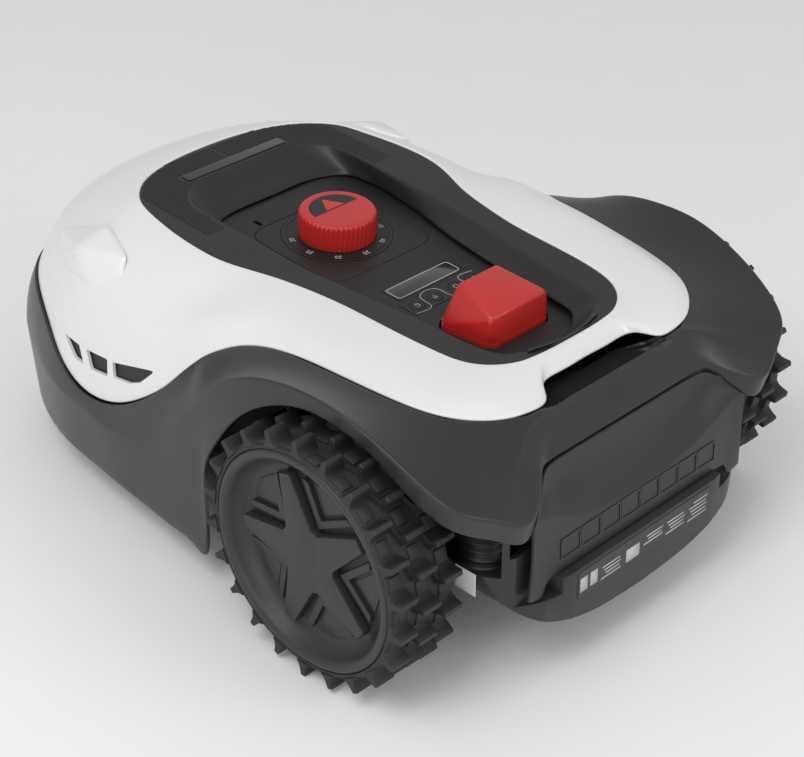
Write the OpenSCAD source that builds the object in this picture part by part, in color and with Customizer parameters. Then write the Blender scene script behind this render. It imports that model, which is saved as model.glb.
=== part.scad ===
// Robotic lawn mower: floating two-tone shell over a wheeled chassis,
// height knob, stop button, key pad, geared drive wheels, front casters
// and a three-blade cutter that rises and falls with the knob.
// Frame: +X towards the nose, +Y towards the mower's left, +Z up.
// Station tables are measured from the drive axle, on the ground plane.

/* [Placement] */
// Distance of the drive axle behind the middle of the mower
axle_back = 164.5; // [160:0.1:168]
// Height of the drive axle above the ground
axle_z = 101; // [101:1:101]

/* [Drive wheels] */
// Outer radius over the tread lugs
tyre_r = 101; // [98:1:101]
// Radius of the rim
rim_r = 86; // [84:1:86]
// Inner face of the wheel from the centre plane
wheel_in = 160; // [158:1:162]
// Outer face of the wheel from the centre plane
wheel_out = 220; // [218:1:220]
// Number of lugs in each of the three rows
lug_count = 22; // [18:1:24]
// Radius of the drive shaft
shaft_r = 6; // [5:0.5:7]

/* [Shell] */
// Wall of the moulded covers
wall = 2.6; // [2.2:0.1:3]
// Smoothing steps between two stations round a cover
ring_steps = 2; // [1:1:3]

/* [Control panel] */
// Slope of the panel, rising towards the nose
panel_tilt = 3.15; // [2.5:0.05:3.5]
// Height of the panel above the drive axle
panel_z = 196; // [195:0.5:196]
// Thickness of the panel
panel_t = 3; // [2.5:0.5:3.5]
// Knob radius
knob_r = 31.5; // [28:0.5:32]
// Knob height
knob_h = 22.5; // [20:0.5:24]
// Distance of the knob ahead of the drive axle
knob_x = 190; // [188:1:192]
// Radius of each key
key_r = 6; // [5:0.5:6]

/* [Cutter] */
// Distance of the cutter ahead of the drive axle
cut_x = 190; // [188:1:192]
// Height of the blades above the ground at rest
cut_z = 40; // [38:1:42]
// Radius of the blade disc
disc_r = 85; // [80:1:88]
// Radius of the blade pivots
blade_pcr = 72; // [68:1:74]
// Radius of the blade chamber
chamber_r = 118; // [114:1:120]

/* [Casters] */
// Distance of the swivels ahead of the drive axle
caster_x = 362; // [360:1:364]
// Distance of the swivels from the centre plane
caster_y = 95; // [92:1:97]
// Caster wheel radius
caster_r = 30; // [28:1:30]
// Distance of the caster axle behind its swivel
caster_trail = 12; // [10:1:13]

/* [Hidden] */
$fn = 64;
eps = 0.01;

// ---- curves ------------------------------------------------------------
function cr(a, b, c, d, t) =
  0.5 * (2 * b + (c - a) * t + (2 * a - 5 * b + 4 * c - d) * t * t
  + (3 * b - a - 3 * c + d) * t * t * t);
function mir(row) = [for (p = row) [p[0], -p[1], p[2]]];
// A ring of stations from the nose round the left side to the rear, closed by its mirror
function ring(rows) = let (n = len(rows))
  concat(rows, [for (i = [n - 2:-1:1]) mir(rows[i])]);
function smooth(R, s) = let (n = len(R))
  [for (i = [0:n - 1]) for (j = [0:s - 1])
    [for (c = [0:len(R[0]) - 1])
      cr(R[(i + n - 1) % n][c], R[i][c], R[(i + 1) % n][c], R[(i + 2) % n][c], j / s)]];
function unit(v) = v / max(norm(v), 0.0001);
function out_n(G, i, j) = let (n = len(G), m = len(G[0]),
    du = G[(i + 1) % n][j] - G[(i + n - 1) % n][j],
    dv = G[i][min(j + 1, m - 1)] - G[i][max(j - 1, 0)])
  unit(cross(dv, du));
function inset(G, t) = [for (i = [0:len(G) - 1]) [for (j = [0:len(G[0]) - 1]) G[i][j] - t * out_n(G, i, j)]];

// Closed annular skin: outer grid G and inner grid H, joined at both edges
module skin(G, H) {
  n = len(G);
  m = len(G[0]);
  q = 2 * m;
  pts = [for (i = [0:n - 1]) each concat(G[i], [for (j = [m - 1:-1:0]) H[i][j]])];
  faces = [for (i = [0:n - 1]) for (k = [0:q - 1])
    let (a = i * q + k, b = i * q + (k + 1) % q, c = ((i + 1) % n) * q + (k + 1) % q, d = ((i + 1) % n) * q + k)
    each [[a, c, b], [a, d, c]]];
  polyhedron(points = pts, faces = faces, convexity = 8);
}
// Closed plate: grid G that is open in both directions, thickness t
module plate(G, t) {
  n = len(G);
  m = len(G[0]);
  function nn(i, j) = unit(cross(G[i][min(j + 1, m - 1)] - G[i][max(j - 1, 0)], G[min(i + 1, n - 1)][j] - G[max(i - 1, 0)][j]));
  H = [for (i = [0:n - 1]) [for (j = [0:m - 1]) G[i][j] - t * nn(i, j)]];
  N = n * m;
  pts = concat([for (r = G) each r], [for (r = H) each r]);
  top = [for (i = [0:n - 2]) for (j = [0:m - 2]) let (a = i * m + j, b = a + 1, c = a + m + 1, d = a + m) each [[a, c, b], [a, d, c]]];
  bot = [for (f = top) [f[2] + N, f[1] + N, f[0] + N]];
  edge = concat(
    [for (j = [0:m - 2]) let (a = j, b = j + 1) each [[b, a + N, a], [b, b + N, a + N]]],
    [for (j = [0:m - 2]) let (a = (n - 1) * m + j, b = a + 1) each [[a, b + N, b], [a, a + N, b + N]]],
    [for (i = [0:n - 2]) let (a = i * m, b = a + m) each [[a, b + N, b], [a, a + N, b + N]]],
    [for (i = [0:n - 2]) let (a = i * m + m - 1, b = a + m) each [[b, a + N, a], [b, b + N, a + N]]]);
  polyhedron(points = pts, faces = concat(top, bot, edge), convexity = 8);
}

// ---- station tables, measured from the drive axle ------------------------
// Light cover: inner edge, shoulder, side, lower edge
COVER = [
  [[350, 0, 231], [395, 0, 218], [432, 0, 190], [445, 0, 156]],
  [[347, 40, 231], [391, 48, 217], [427, 62, 189], [439, 72, 156]],
  [[336, 74, 231], [372, 92, 215], [402, 115, 187], [414, 128, 153]],
  [[320, 94, 231.5], [345, 120, 213], [372, 143, 182], [381, 155, 146]],
  [[300, 107, 232], [315, 138, 212], [338, 164, 176], [345, 173, 134]],
  [[278, 113, 231], [290, 147, 211], [308, 176, 172], [316, 184, 117]],
  [[255, 117, 230], [264, 152, 210], [276, 181, 169], [285, 188, 105]],
  [[232, 119.5, 229], [238, 154, 209], [245, 183, 168], [252, 189, 108]],
  [[212, 120, 228], [215, 153, 210], [217, 182, 172], [220, 190, 123]],
  [[192, 118, 226.5], [190, 150, 212], [186, 178, 184], [183, 190, 150]],
  [[172, 112, 225], [168, 144, 216], [160, 170, 202], [155, 187, 177]],
  [[150, 104, 223.5], [145, 135, 220], [135, 160, 213], [130, 176, 200]],
  [[120, 97, 222], [116, 127, 221], [108, 148, 216], [104, 162, 210]],
  [[85, 92, 220], [80, 122, 220], [74, 143, 217], [70, 154, 213]],
  [[42, 90, 218], [38, 117, 218], [34, 138, 215.5], [32, 149, 212]],
  [[0, 87, 216], [-4, 112, 215.5], [-9, 132, 213], [-11, 143, 209.5]],
  [[-26, 80, 214], [-38, 102, 213], [-48, 121, 210], [-52, 130, 206]],
  [[-42, 66, 213], [-58, 84, 211], [-70, 98, 207.5], [-76, 106, 203]],
  [[-50, 50, 212.5], [-63, 61, 210], [-76, 72, 206], [-85, 80, 202]],
  [[-51.5, 42, 212.4], [-63, 50, 210], [-74, 57, 206], [-83, 61.5, 201]],
  [[-52.5, 32, 212.3], [-58, 37, 211], [-64, 43, 208], [-70, 49, 203]],
  [[-53, 16, 212.1], [-57, 18, 211.3], [-62, 21, 208.8], [-67.5, 24, 204]],
  [[-53, 0, 212], [-57, 0, 211.3], [-62, 0, 209], [-67, 0, 204]]];

// Dark shell: edge under the light cover, crown, crease, bottom edge
SIDE = [
  [[447, 0, 154], [455, 0, 130], [460, 0, 106], [455, 0, 32]],
  [[441, 73, 154], [449, 80, 129], [452, 85, 105], [449, 82, 32]],
  [[416, 130, 151], [423, 136, 127], [426, 140, 102], [424, 136, 32]],
  [[383, 157, 144], [390, 160, 123], [393, 162, 98], [392, 158, 31]],
  [[347, 175, 132], [354, 177, 112], [357, 178, 95], [357, 172, 31]],
  [[317, 186, 115], [321, 187, 104], [323, 188, 91], [322, 180, 30]],
  [[286, 190, 103], [288, 191, 95], [289, 191, 87], [286, 184, 30]],
  [[252, 191, 106], [253, 192, 95], [253, 193, 85], [250, 188, 30]],
  [[220, 192, 121], [219, 193, 105], [219, 194, 93], [212, 191, 30]],
  [[183, 192, 148], [184, 194, 124], [184, 195, 112], [178, 195, 31]],
  [[156.5, 189, 175], [159, 194, 152], [160, 197, 131], [146, 198, 31]],
  [[144, 184.5, 188], [143, 193, 170], [141, 198, 152], [127, 200, 34]],
  [[131, 178, 198.5], [127, 191, 189], [121, 199, 174], [124, 201, 95]],
  [[105, 164.5, 208.5], [101, 182, 205], [95, 199, 198], [108, 202, 140]],
  [[71, 156.5, 211.5], [66, 177, 212], [60, 198, 216], [76, 201, 180]],
  [[32, 151.5, 210.5], [26, 173, 214], [20, 196, 223], [35, 198, 205]],
  [[-11, 145.5, 208], [-15, 169, 211], [-20, 195, 221], [-8, 196, 211]],
  [[-33, 140.5, 206.5], [-41, 165, 207], [-52, 193, 211], [-45, 193, 201]],
  [[-53, 132, 204.5], [-65, 158, 201], [-80, 190, 198], [-74, 190, 183]],
  [[-66, 121, 203], [-83, 148, 195], [-103, 184, 185], [-97, 184, 168]],
  [[-77.5, 107, 201.5], [-94, 132, 190], [-118, 172, 175], [-112, 170, 157]],
  [[-82.5, 95, 201], [-99, 117, 188], [-127, 152, 165], [-122, 150, 147]]];
// Rear of the dark shell: edge, pocket floor, crest, slope, top of the fascia, tuck
REAR = [
  [[-86.5, 85, 200], [-88.5, 86, 199.5], [-92, 90, 198], [-103, 103, 186], [-131, 125, 157], [-127, 123, 141]],
  [[-87.5, 76, 200], [-89, 77, 200], [-91, 79, 199.5], [-98, 88, 190], [-114, 99, 170], [-111, 98, 163]],
  [[-86, 66, 198], [-88.5, 66, 198.5], [-90.5, 67, 200], [-96.5, 73, 190], [-107, 87, 172], [-104, 86, 165]],
  [[-72, 58, 190], [-86, 58, 190], [-90, 59, 200], [-96, 62, 190], [-106, 71, 172], [-103, 71, 165]],
  [[-62, 48, 188], [-84, 48, 188], [-90, 48, 200], [-96, 48, 190], [-106, 54, 172], [-103, 54, 165]],
  [[-61, 24, 188], [-84, 24, 188], [-90, 24, 200], [-96, 24, 190], [-106, 27, 172], [-103, 27, 165]],
  [[-61, 0, 188], [-84, 0, 188], [-90, 0, 200], [-96, 0, 190], [-106, 0, 172], [-103, 0, 165]]];
// A side row as six points: the edge, three points on the curve to the crease, the crease, the bottom
function quad(a, b, c, t) = 2 * (t - 0.5) * (t - 1) * a - 4 * t * (t - 1) * b + 2 * t * (t - 0.5) * c;
function six(r) = [r[0], quad(r[0], r[1], r[2], 0.25), quad(r[0], r[1], r[2], 0.5), quad(r[0], r[1], r[2], 0.75), r[2], r[3]];
SHELL = concat([for (r = SIDE) six(r)], REAR);
// The tucked ledge under the light cover runs towards the middle and down
function ledge(r) = concat([r[0] + [r[0][0] > 300 ? -9 : (r[0][0] < -60 ? 8 : 0), r[0][0] > 420 ? 0 : (r[0][1] > 20 ? -8 : 0), -5]], r);

// Deck: outer skirt foot, outer edge, tray rim, tray wall foot
DECK = [
  [[348.6, 0, 224], [349, 0, 230.4], [303, 0, 230.4], [268, 0, 213.6]],
  [[345.6, 39.6, 224], [346, 39.7, 230.4], [301, 38, 230.4], [268, 36, 213.6]],
  [[334.6, 73.2, 224], [335, 73.5, 230.4], [296, 57, 230.3], [264, 57, 212.6]],
  [[319, 93, 224], [319.5, 93.3, 230.9], [284, 70, 230.2], [254, 71, 212]],
  [[299, 106, 224], [299.4, 106.3, 231.3], [270, 75.5, 229.6], [240, 74.6, 211.4]],
  [[277.6, 112, 223], [277.8, 112.3, 230.3], [250, 77, 228.6], [222, 76, 210.6]],
  [[254.8, 116, 222], [254.9, 116.3, 229.3], [232, 77, 227.4], [206, 75, 209.8]],
  [[232, 118.5, 221], [232, 118.8, 228.3], [214, 76.5, 226], [193, 73.4, 209.2]],
  [[212, 119, 220], [212, 119.3, 227.3], [197, 76, 225], [179, 71.8, 208.6]],
  [[191.8, 117, 219], [191.9, 117.3, 225.8], [178, 76, 223.6], [160, 68, 207.8]],
  [[171.6, 111, 218], [171.8, 111.3, 224.3], [160, 76, 222.4], [142, 64, 207]],
  [[149.8, 103, 216], [149.9, 103.3, 222.8], [140, 74.6, 220.8], [124, 60.6, 206.2]],
  [[119.8, 96, 214.6], [119.9, 96.3, 221.3], [112, 71.8, 219.4], [98, 56.8, 205]],
  [[84.8, 91, 212.8], [84.9, 91.3, 219.3], [80, 68, 217.6], [68, 53.4, 203.6]],
  [[41.8, 89, 210.8], [41.9, 89.3, 217.3], [38, 62.6, 215.4], [30, 50.6, 202.2]],
  [[0.4, 86.2, 208.8], [0.2, 86.4, 215.3], [0, 59.4, 213.6], [0, 47.6, 201]],
  [[-25.2, 79, 206.8], [-25.6, 79.4, 213.3], [-21, 57, 213], [-16, 44, 200.4]],
  [[-41, 65.2, 205.8], [-41.4, 65.6, 212.3], [-33, 51, 212], [-24, 36, 199.9]],
  [[-49, 49.6, 205.4], [-49.4, 49.8, 211.8], [-40, 40, 211.9], [-29, 28, 199.6]],
  [[-50.5, 41.8, 205.4], [-50.9, 41.9, 211.7], [-43, 33, 211.8], [-31.5, 22, 199.5]],
  [[-51.5, 32, 205.3], [-51.9, 32, 211.6], [-46, 25, 211.8], [-33, 17, 199.4]],
  [[-52, 16, 205.2], [-52.4, 16, 211.4], [-48.6, 13, 211.6], [-34.4, 9, 199.4]],
  [[-52, 0, 205.2], [-52.4, 0, 211.3], [-49.4, 0, 211.5], [-35, 0, 199.4]]];

// Rear fascia: one row per distance from the centre, top edge to lower edge
FASCIA = [
  [[-107.5, 0, 170], [-110, 0, 152], [-115.5, 0, 134], [-123, 0, 117], [-124, 0, 103], [-124.5, 0, 89]],
  [[-107.5, 30, 170], [-110, 30, 152], [-115.5, 30, 135], [-123, 30, 119], [-124, 30, 104], [-124.5, 30, 89]],
  [[-107.5, 60, 170], [-110.4, 61, 153], [-116.4, 62, 139], [-123, 62, 125], [-124, 62, 106], [-124.5, 62, 89]],
  [[-107.8, 80, 169.6], [-111.6, 84, 155], [-118, 86, 144], [-123, 88, 136], [-124, 90, 110], [-124.5, 92, 89]],
  [[-108.8, 88, 168.4], [-113.4, 94, 157], [-119.6, 98, 148], [-123.4, 100, 141], [-124, 101, 112], [-124.5, 102, 86]],
  [[-111.4, 94, 165.4], [-115.6, 100, 157], [-121, 107, 149], [-124, 110, 144], [-124.6, 109, 112], [-124.8, 107, 78]],
  [[-115, 98.5, 161], [-118.6, 104, 155], [-123, 112, 148], [-125.4, 118, 143], [-125.6, 118, 112], [-125, 120, 80]]];

// ---- covers ---------------------------------------------------------------
module at_axle() { translate([-axle_back, 0, 0]) children(); }
module outer_shell() color([0.23, 0.23, 0.24]) at_axle() {
  G = smooth(ring([for (r = SHELL) ledge(r)]), ring_steps);
  skin(G, inset(G, wall));
}
module top_cover() color([0.92, 0.92, 0.91]) at_axle() {
  G = smooth(ring([for (r = COVER) [r[0], quad(r[0], r[1], r[2], 0.25), r[1], 0.5 * (r[1] + r[2]) + 0.09 * (r[1] + r[2] - r[0] - r[3]), r[2], r[3]]]), ring_steps);
  skin(G, inset(G, wall));
}
// Draws a point in from the cover's edge
function drawn_in(p, d) = p - d * unit([p[0] - min(max(p[0], 60), 250), p[1], 0]);
module deck_frame() color([0.19, 0.19, 0.19]) at_axle() {
  G0 = smooth(ring([for (r = DECK) [drawn_in(r[0], 0.5), drawn_in(r[1], 0.5), r[2], r[3]]]), ring_steps);
  // the rows run from the outside in, so they are turned round to face out
  G = [for (r = G0) [for (j = [3:-1:0]) r[j]]];
  skin(G, inset(G, 2));
}
module badge_strip() color([0.3, 0.3, 0.3]) at_axle()
  translate([306, -52, 230.45]) cube([11, 104, 0.7]);
// Bump: four raised corners, four on the cover's surface and three below it
BUMP = [[363, 137, 197], [305, 134, 219.5], [262, 149.5, 213.5], [306.5, 161.5, 207.5], [344, 152.5, 182.5], [323, 162.5, 181.5],
  [283, 170.5, 183.5], [258, 159, 199.5], [330, 128, 200], [290, 134, 207], [275, 150, 196]];
module sensor_cover(s) color([0.9, 0.9, 0.89]) at_axle() mirror([0, s < 0 ? 1 : 0, 0])
  hull() for (p = BUMP) translate(p) sphere(r = 3, $fn = 16);
module vent_inserts() color([0.06, 0.06, 0.06]) at_axle()
  for (s = [1, -1]) mirror([0, s < 0 ? 1 : 0, 0]) {
    translate([0, 187.5, 0]) rotate([90, 0, 0]) translate([0, 0, -2]) {
      translate([0, 0, 4]) linear_extrude(2) polygon([[312, 141], [289, 141], [283, 126.5], [296, 127]]);
      translate([0, 0, 2]) linear_extrude(2) polygon([[279, 141.5], [250.7, 144.8], [250.7, 130], [273, 126.5]]);
      translate([0, 0, 1.5]) linear_extrude(2) polygon([[244, 145], [192, 159], [209, 142.5], [223, 136], [242.7, 132.4]]);
    }
  }
module rear_fascia() color([0.22, 0.22, 0.23]) at_axle() {
  rows = concat([for (i = [6:-1:1]) mir(FASCIA[i])], FASCIA);
  plate(rows, 2.4);
}
module charge_contacts() color([0.8, 0.66, 0.36]) at_axle()
  for (y = [-38, 38]) translate([456.4, y - 9, 58]) cube([3.2, 18, 24]);

// ---- floating suspension -----------------------------------------------------
FLOATS = [[-84, 122, 100], [-84, -122, 100], [286, 118, 150.4], [286, -118, 150.4]];
module float_stems() color([0.35, 0.35, 0.36]) at_axle()
  for (f = FLOATS) translate(f) {
    translate([0, 0, 8]) cylinder(r = 6, h = 32);
    translate([0, 0, 40.2]) cylinder(r = 15, h = 4);
    translate([0, 0, 40 - eps]) cylinder(r = 6, h = 0.3);
    translate([0, 0, 44]) cylinder(r = 5, h = 20);
  }
module float_bellows() color([0.07, 0.07, 0.07]) at_axle()
  for (f = FLOATS) translate(f + [0, 0, 0.2]) rotate_extrude()
    polygon(concat([[13, 0], [19, 0], [19, 3]],
      [for (i = [0:4]) each [[15.6, 5 + i * 7], [19, 8.5 + i * 7]]],
      [[15.6, 39.6], [13, 39.6]]));

// ---- chassis --------------------------------------------------------------------
TUB = [[-131, 80], [-127, 104], [-118, 122], [-110, 133], [-98, 141], [-72, 141], [-64, 138], [108, 138], [120, 166],
  [300, 166], [345, 152], [378, 126], [392, 90], [396, 40]];
BELLY = [[0, 37], [50, 40], [90, 50], [112, 60], [130, 76], [140, 98], [142, 112]];
// Open curve through the points, s steps between two of them
function curve(P, s) = let (n = len(P))
  concat([for (i = [0:n - 2]) for (j = [0:s - 1]) cr(P[max(i - 1, 0)], P[i], P[i + 1], P[min(i + 2, n - 1)], j / s)], [P[n - 1]]);
REAR_PLAN = curve([for (i = [0:4]) TUB[i]], 4);
function both(P) = concat(P, [for (i = [len(P) - 1:-1:0]) [P[i][0], -P[i][1]]]);
module belly() rotate([90, 0, 90]) translate([0, 0, -140]) linear_extrude(560)
  polygon(concat(curve(BELLY, 4), [[170, 112], [170, 160], [-170, 160], [-170, 112]],
    [for (i = [len(curve(BELLY, 4)) - 1:-1:1]) let (p = curve(BELLY, 4)[i]) [-p[0], p[1]]]));
module tub_outer() {
  intersection() {
    linear_extrude(146.6) polygon(both(concat(REAR_PLAN, [for (i = [5:7]) TUB[i]])));
    belly();
  }
  translate([0, 0, 46]) linear_extrude(100.6) polygon(both([for (p = TUB) if (p[0] > 100) p]));
}
module chassis_tub() color([0.24, 0.24, 0.25]) at_axle() difference() {
  tub_outer();
  // front shelf over the casters
  translate([314, -180, 0]) cube([120, 360, 70]);
  // room for the fascia and its slope
  translate([-140, -127, 87.4]) cube([24, 254, 82]);
  for (s = [1, -1]) translate([-140, s > 0 ? 90 : -127, 74]) cube([24, 37, 20]);
  translate([-140, -129, 116]) cube([41, 258, 60]);
  // shelves for the rear bellows
  for (s = [1, -1]) translate([-110, s > 0 ? 99 : -150, 100]) cube([52, 51, 60]);
  // rear hollow: battery and gear motors
  translate([-96, -96, 52]) cube([162, 192, 100]);
  translate([-54, -134, 62]) cube([120, 268, 90]);
  // front hollow over the blade chamber
  translate([65, -134, 86]) cube([260, 268, 62]);
  translate([122, -162, 86]) cube([190, 324, 62]);
  translate([316, -120, 76]) cube([62, 240, 72]);
  // blade chamber
  translate([cut_x, 0, 0]) cylinder(r = chamber_r, h = 82, $fn = 96);
  translate([cut_x, 0, 60]) cylinder(r = 33, h = 40);
  // drive shaft holes
  translate([0, -150, axle_z]) rotate([-90, 0, 0]) cylinder(r = 8, h = 300);
  // caster stem bores
  for (y = [-caster_y, caster_y]) translate([caster_x, y, 60]) cylinder(r = 5.06, h = 40);
  // battery door opening and its screws
  translate([-70, -62, 30]) cube([110, 124, 30]);
  for (x = [-76, 46], y = [-50, 50]) translate([x, y, 30]) cylinder(r = 1.6, h = 40);
}
PANEL = [[-43, 18], [-36, 34], [-20, 52], [20, 58], [76, 63], [138, 72], [181, 81], [222, 85], [260, 80], [276, 56], [277, 30]];
TOWER = [[-36, 16], [-30, 28], [-16, 42], [20, 48], [76, 53], [138, 61], [181, 70], [222, 74], [252, 70], [264, 50], [266, 28]];
TOWER_IN = [[-32, 14], [-26, 25], [-13, 38], [20, 44], [76, 49], [138, 57], [181, 66], [222, 70], [249, 66], [260, 48], [262, 26]];
module on_panel() translate([0, 0, panel_z]) rotate([0, -panel_tilt, 0]) children();
module chassis_lid() color([0.3, 0.3, 0.31]) at_axle() difference() {
  union() {
    translate([0, 0, 147]) linear_extrude(3) polygon(both([[-97, 94], [-50, 96], [-50, 136], [106, 136], [118, 164],
      [300, 164], [343, 150], [376, 124], [390, 88], [394, 40]]));
    intersection() {
      translate([0, 0, 149.9]) linear_extrude(80) difference() { polygon(both(TOWER)); polygon(both(TOWER_IN)); }
      on_panel() translate([-200, -200, -100]) cube([600, 400, 100 - panel_t - 0.05]);
    }
  }
  // the cutter motor rises through the front of the tower
  intersection() {
    translate([0, 0, 140]) linear_extrude(20) polygon(both(TOWER_IN));
    translate([60, -100, 130]) cube([250, 200, 40]);
  }
}
// Key centres on the panel: power, start, home, ok
KEYS = [[72, 29.5], [72, 11], [72, -12], [72, -30]];
STOP = [[45, 32], [39, 38.5], [0, 33.5], [-6, 27]];
STOP_HOLE = [[46.2, 32.4], [39.6, 39.8], [-0.4, 34.8], [-7.2, 27.6]];
module control_panel() color([0.14, 0.14, 0.14]) at_axle() on_panel() difference() {
  translate([0, 0, -panel_t]) linear_extrude(panel_t) polygon(both(PANEL));
  translate([0, 0, -4]) linear_extrude(6) polygon(both(STOP_HOLE));
  translate([knob_x, 0, -5]) cylinder(r = 9, h = 10);
  translate([knob_x, 0, -0.8]) cylinder(r = 44.4, h = 4);
  translate([85.6, -35, -1.6]) cube([18.8, 70, 4]);
  translate([62.6, -40, -0.8]) cube([19, 80, 4]);
  for (k = KEYS) translate([k[0], k[1], -5]) cylinder(r = key_r + 0.4, h = 10);
  translate([239, 34, -4]) cube([9, 3.4, 8]);
}
module scale_ring() color([0.17, 0.17, 0.17]) at_axle() on_panel()
  translate([knob_x, 0, -0.8]) difference() {
    cylinder(r = 44, h = 1);
    translate([0, 0, -1]) cylinder(r = 26, h = 4);
  }
module display_window() color([0.05, 0.05, 0.06]) at_axle() on_panel()
  translate([86, -34.5, -1.6]) cube([18, 69, 1.8]);
module keypad_overlay() color([0.16, 0.16, 0.16]) at_axle() on_panel() difference() {
  translate([63, -39.6, -0.8]) cube([18.2, 79.2, 1]);
  for (k = KEYS) translate([k[0], k[1], -5]) cylinder(r = key_r + 0.4, h = 10);
}
module key(k) color([0.2, 0.2, 0.2]) at_axle() on_panel() translate([k[0], k[1], -2.6]) {
  cylinder(r = key_r, h = 3.1);
}
module key_power() key(KEYS[0]);
module key_start() key(KEYS[1]);
module key_home() key(KEYS[2]);
module key_ok() key(KEYS[3]);

// ---- stop button --------------------------------------------------------------------
module stop_button() color([0.78, 0.21, 0.18]) at_axle() {
  hull() {
    translate([38, -20, 227]) rotate([-90, 0, 0]) cylinder(r = 1.6, h = 40, $fn = 24);
    translate([-2, -29.5, 217.6]) rotate([-90, 0, 0]) cylinder(r = 1.6, h = 59, $fn = 24);
    translate([0, 0, 198]) linear_extrude(0.5) polygon(both([for (p = STOP) [p[0], p[1] - 0.3]]));
  }
  on_panel() translate([0, 0, -8]) linear_extrude(10.6) polygon(both([for (p = STOP) [p[0], p[1] - 0.4]]));
}
// Coil spring: a round wire of radius w swept up a helix of radius r
module coil(r, w, h, turns) {
  n = turns * 12;
  k = 6;
  pts = [for (i = [0:n]) let (a = i * 30) for (j = [0:k - 1]) let (b = j * 360 / k, q = r + w * cos(b))
    [q * cos(a), q * sin(a), w + (h - 2 * w) * i / n + w * sin(b)]];
  faces = concat([[for (j = [k - 1:-1:0]) j]], [[for (j = [0:k - 1]) n * k + j]],
    [for (i = [0:n - 1]) for (j = [0:k - 1]) let (p = i * k + j, q = i * k + (j + 1) % k) each [[p, q, q + k], [p, q + k, p + k]]]);
  polyhedron(points = pts, faces = faces, convexity = 10);
}
module stop_spring() color([0.7, 0.7, 0.72]) at_axle() translate([20, 0, 164.2]) coil(10, 1, 24.2, 5);
module stop_switch() color([0.1, 0.1, 0.1]) at_axle() {
  translate([4, -17, 150.05]) cube([32, 34, 14]);
  translate([20, 0, 164]) cylinder(r = 4, h = 19.5);
}

// ---- height knob --------------------------------------------------------------------
module height_knob() color([0.78, 0.21, 0.18]) at_axle() on_panel() translate([knob_x, 0, 0.5]) difference() {
  union() {
    cylinder(r = knob_r - 1, h = knob_h - 0.5);
    for (i = [0:35]) rotate([0, 0, i * 10]) translate([knob_r - 2, -1.4, 0]) cube([2, 2.8, knob_h - 3]);
  }
  translate([0, 0, -1]) cylinder(r = 25, h = 8);
  translate([0, 0, knob_h - 1.5]) intersection() {
    cylinder(r = 25.5, h = 4);
    translate([1.5, -30, 0]) cube([40, 60, 4]);
  }
}
module knob_pointer() color([0.12, 0.12, 0.12]) at_axle() on_panel() translate([knob_x, 0, knob_h - 1]) intersection() {
  cylinder(r = 25.2, h = 1.2);
  translate([1.8, -30, 0]) cube([40, 60, 4]);
}
module knob_spindle() color([0.72, 0.72, 0.74]) at_axle() on_panel() translate([knob_x, 0, 0]) {
  translate([0, 0, 3]) cylinder(r = 12, h = 4.4);
  translate([0, 0, -58]) cylinder(r = 5.5, h = 62);
}

// ---- cutter ----------------------------------------------------------------------------
module motor_carrier() color([0.5, 0.5, 0.52]) at_axle() translate([cut_x, 0, cut_z]) difference() {
  union() {
    translate([0, 0, 24]) cylinder(r = 30, h = 60);
    translate([3, 0, 83]) cylinder(r = 14, h = 45);
  }
  translate([0, 0, 20]) cylinder(r = 26.4, h = 59);
  translate([3, 0, 84]) cylinder(r = 9, h = 50);
}
module cutting_motor() color([0.66, 0.66, 0.68]) at_axle() translate([cut_x, 0, cut_z]) difference() {
  translate([0, 0, 22]) cylinder(r = 26, h = 56.9);
  translate([0, 0, 20]) cylinder(r = 4.06, h = 30);
}
module blade_disc() color([0.55, 0.56, 0.58]) at_axle() translate([cut_x, 0, cut_z]) {
  difference() {
    translate([0, 0, 1.2]) cylinder(r = disc_r, h = 3);
    for (a = [0:60:300]) rotate([0, 0, a + 30]) translate([45, 0, 0]) cylinder(r = 9, h = 10);
    for (a = [0:120:240]) rotate([0, 0, a]) translate([blade_pcr, 0, -1]) cylinder(r = 2.4, h = 10);
    translate([0, 0, -1]) cylinder(r = 4, h = 8);
  }
  difference() {
    translate([0, 0, 4.2]) cylinder(r = 16, h = 9);
    translate([0, 0, 3]) cylinder(r = 4, h = 12);
  }
  translate([0, 0, -12]) cylinder(r = 4, h = 60);
}
module blade_screws() color([0.75, 0.75, 0.77]) at_axle() translate([cut_x, 0, cut_z])
  for (a = [0:120:240]) rotate([0, 0, a]) translate([blade_pcr, 0, 0]) {
    translate([0, 0, -3.2]) cylinder(r = 5, h = 2.2);
    translate([0, 0, -1.1]) cylinder(r = 2.4, h = 7.3);
    translate([0, 0, 4.2]) cylinder(r = 4, h = 3, $fn = 6);
  }
module blade(i) color([0.8, 0.81, 0.83]) at_axle() translate([cut_x, 0, cut_z]) rotate([0, 0, i * 120])
  translate([blade_pcr, 0, -0.5]) difference() {
    linear_extrude(1) polygon([[-6, -9], [29, -9], [34, -6], [34, 6], [29, 9], [-6, 9]]);
    translate([0, 0, -1]) cylinder(r = 2.48, h = 4);
  }
module blade_1() blade(0);
module blade_2() blade(1);
module blade_3() blade(2);
module skid_disc() color([0.16, 0.16, 0.17]) at_axle() translate([cut_x, 0, cut_z]) rotate_extrude()
  polygon([[4.06, -11.5], [46, -11.5], [56, -8.5], [60, -5], [60, -3.4], [57, -3.4], [46, -8.4], [4.06, -8.4]]);

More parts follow.
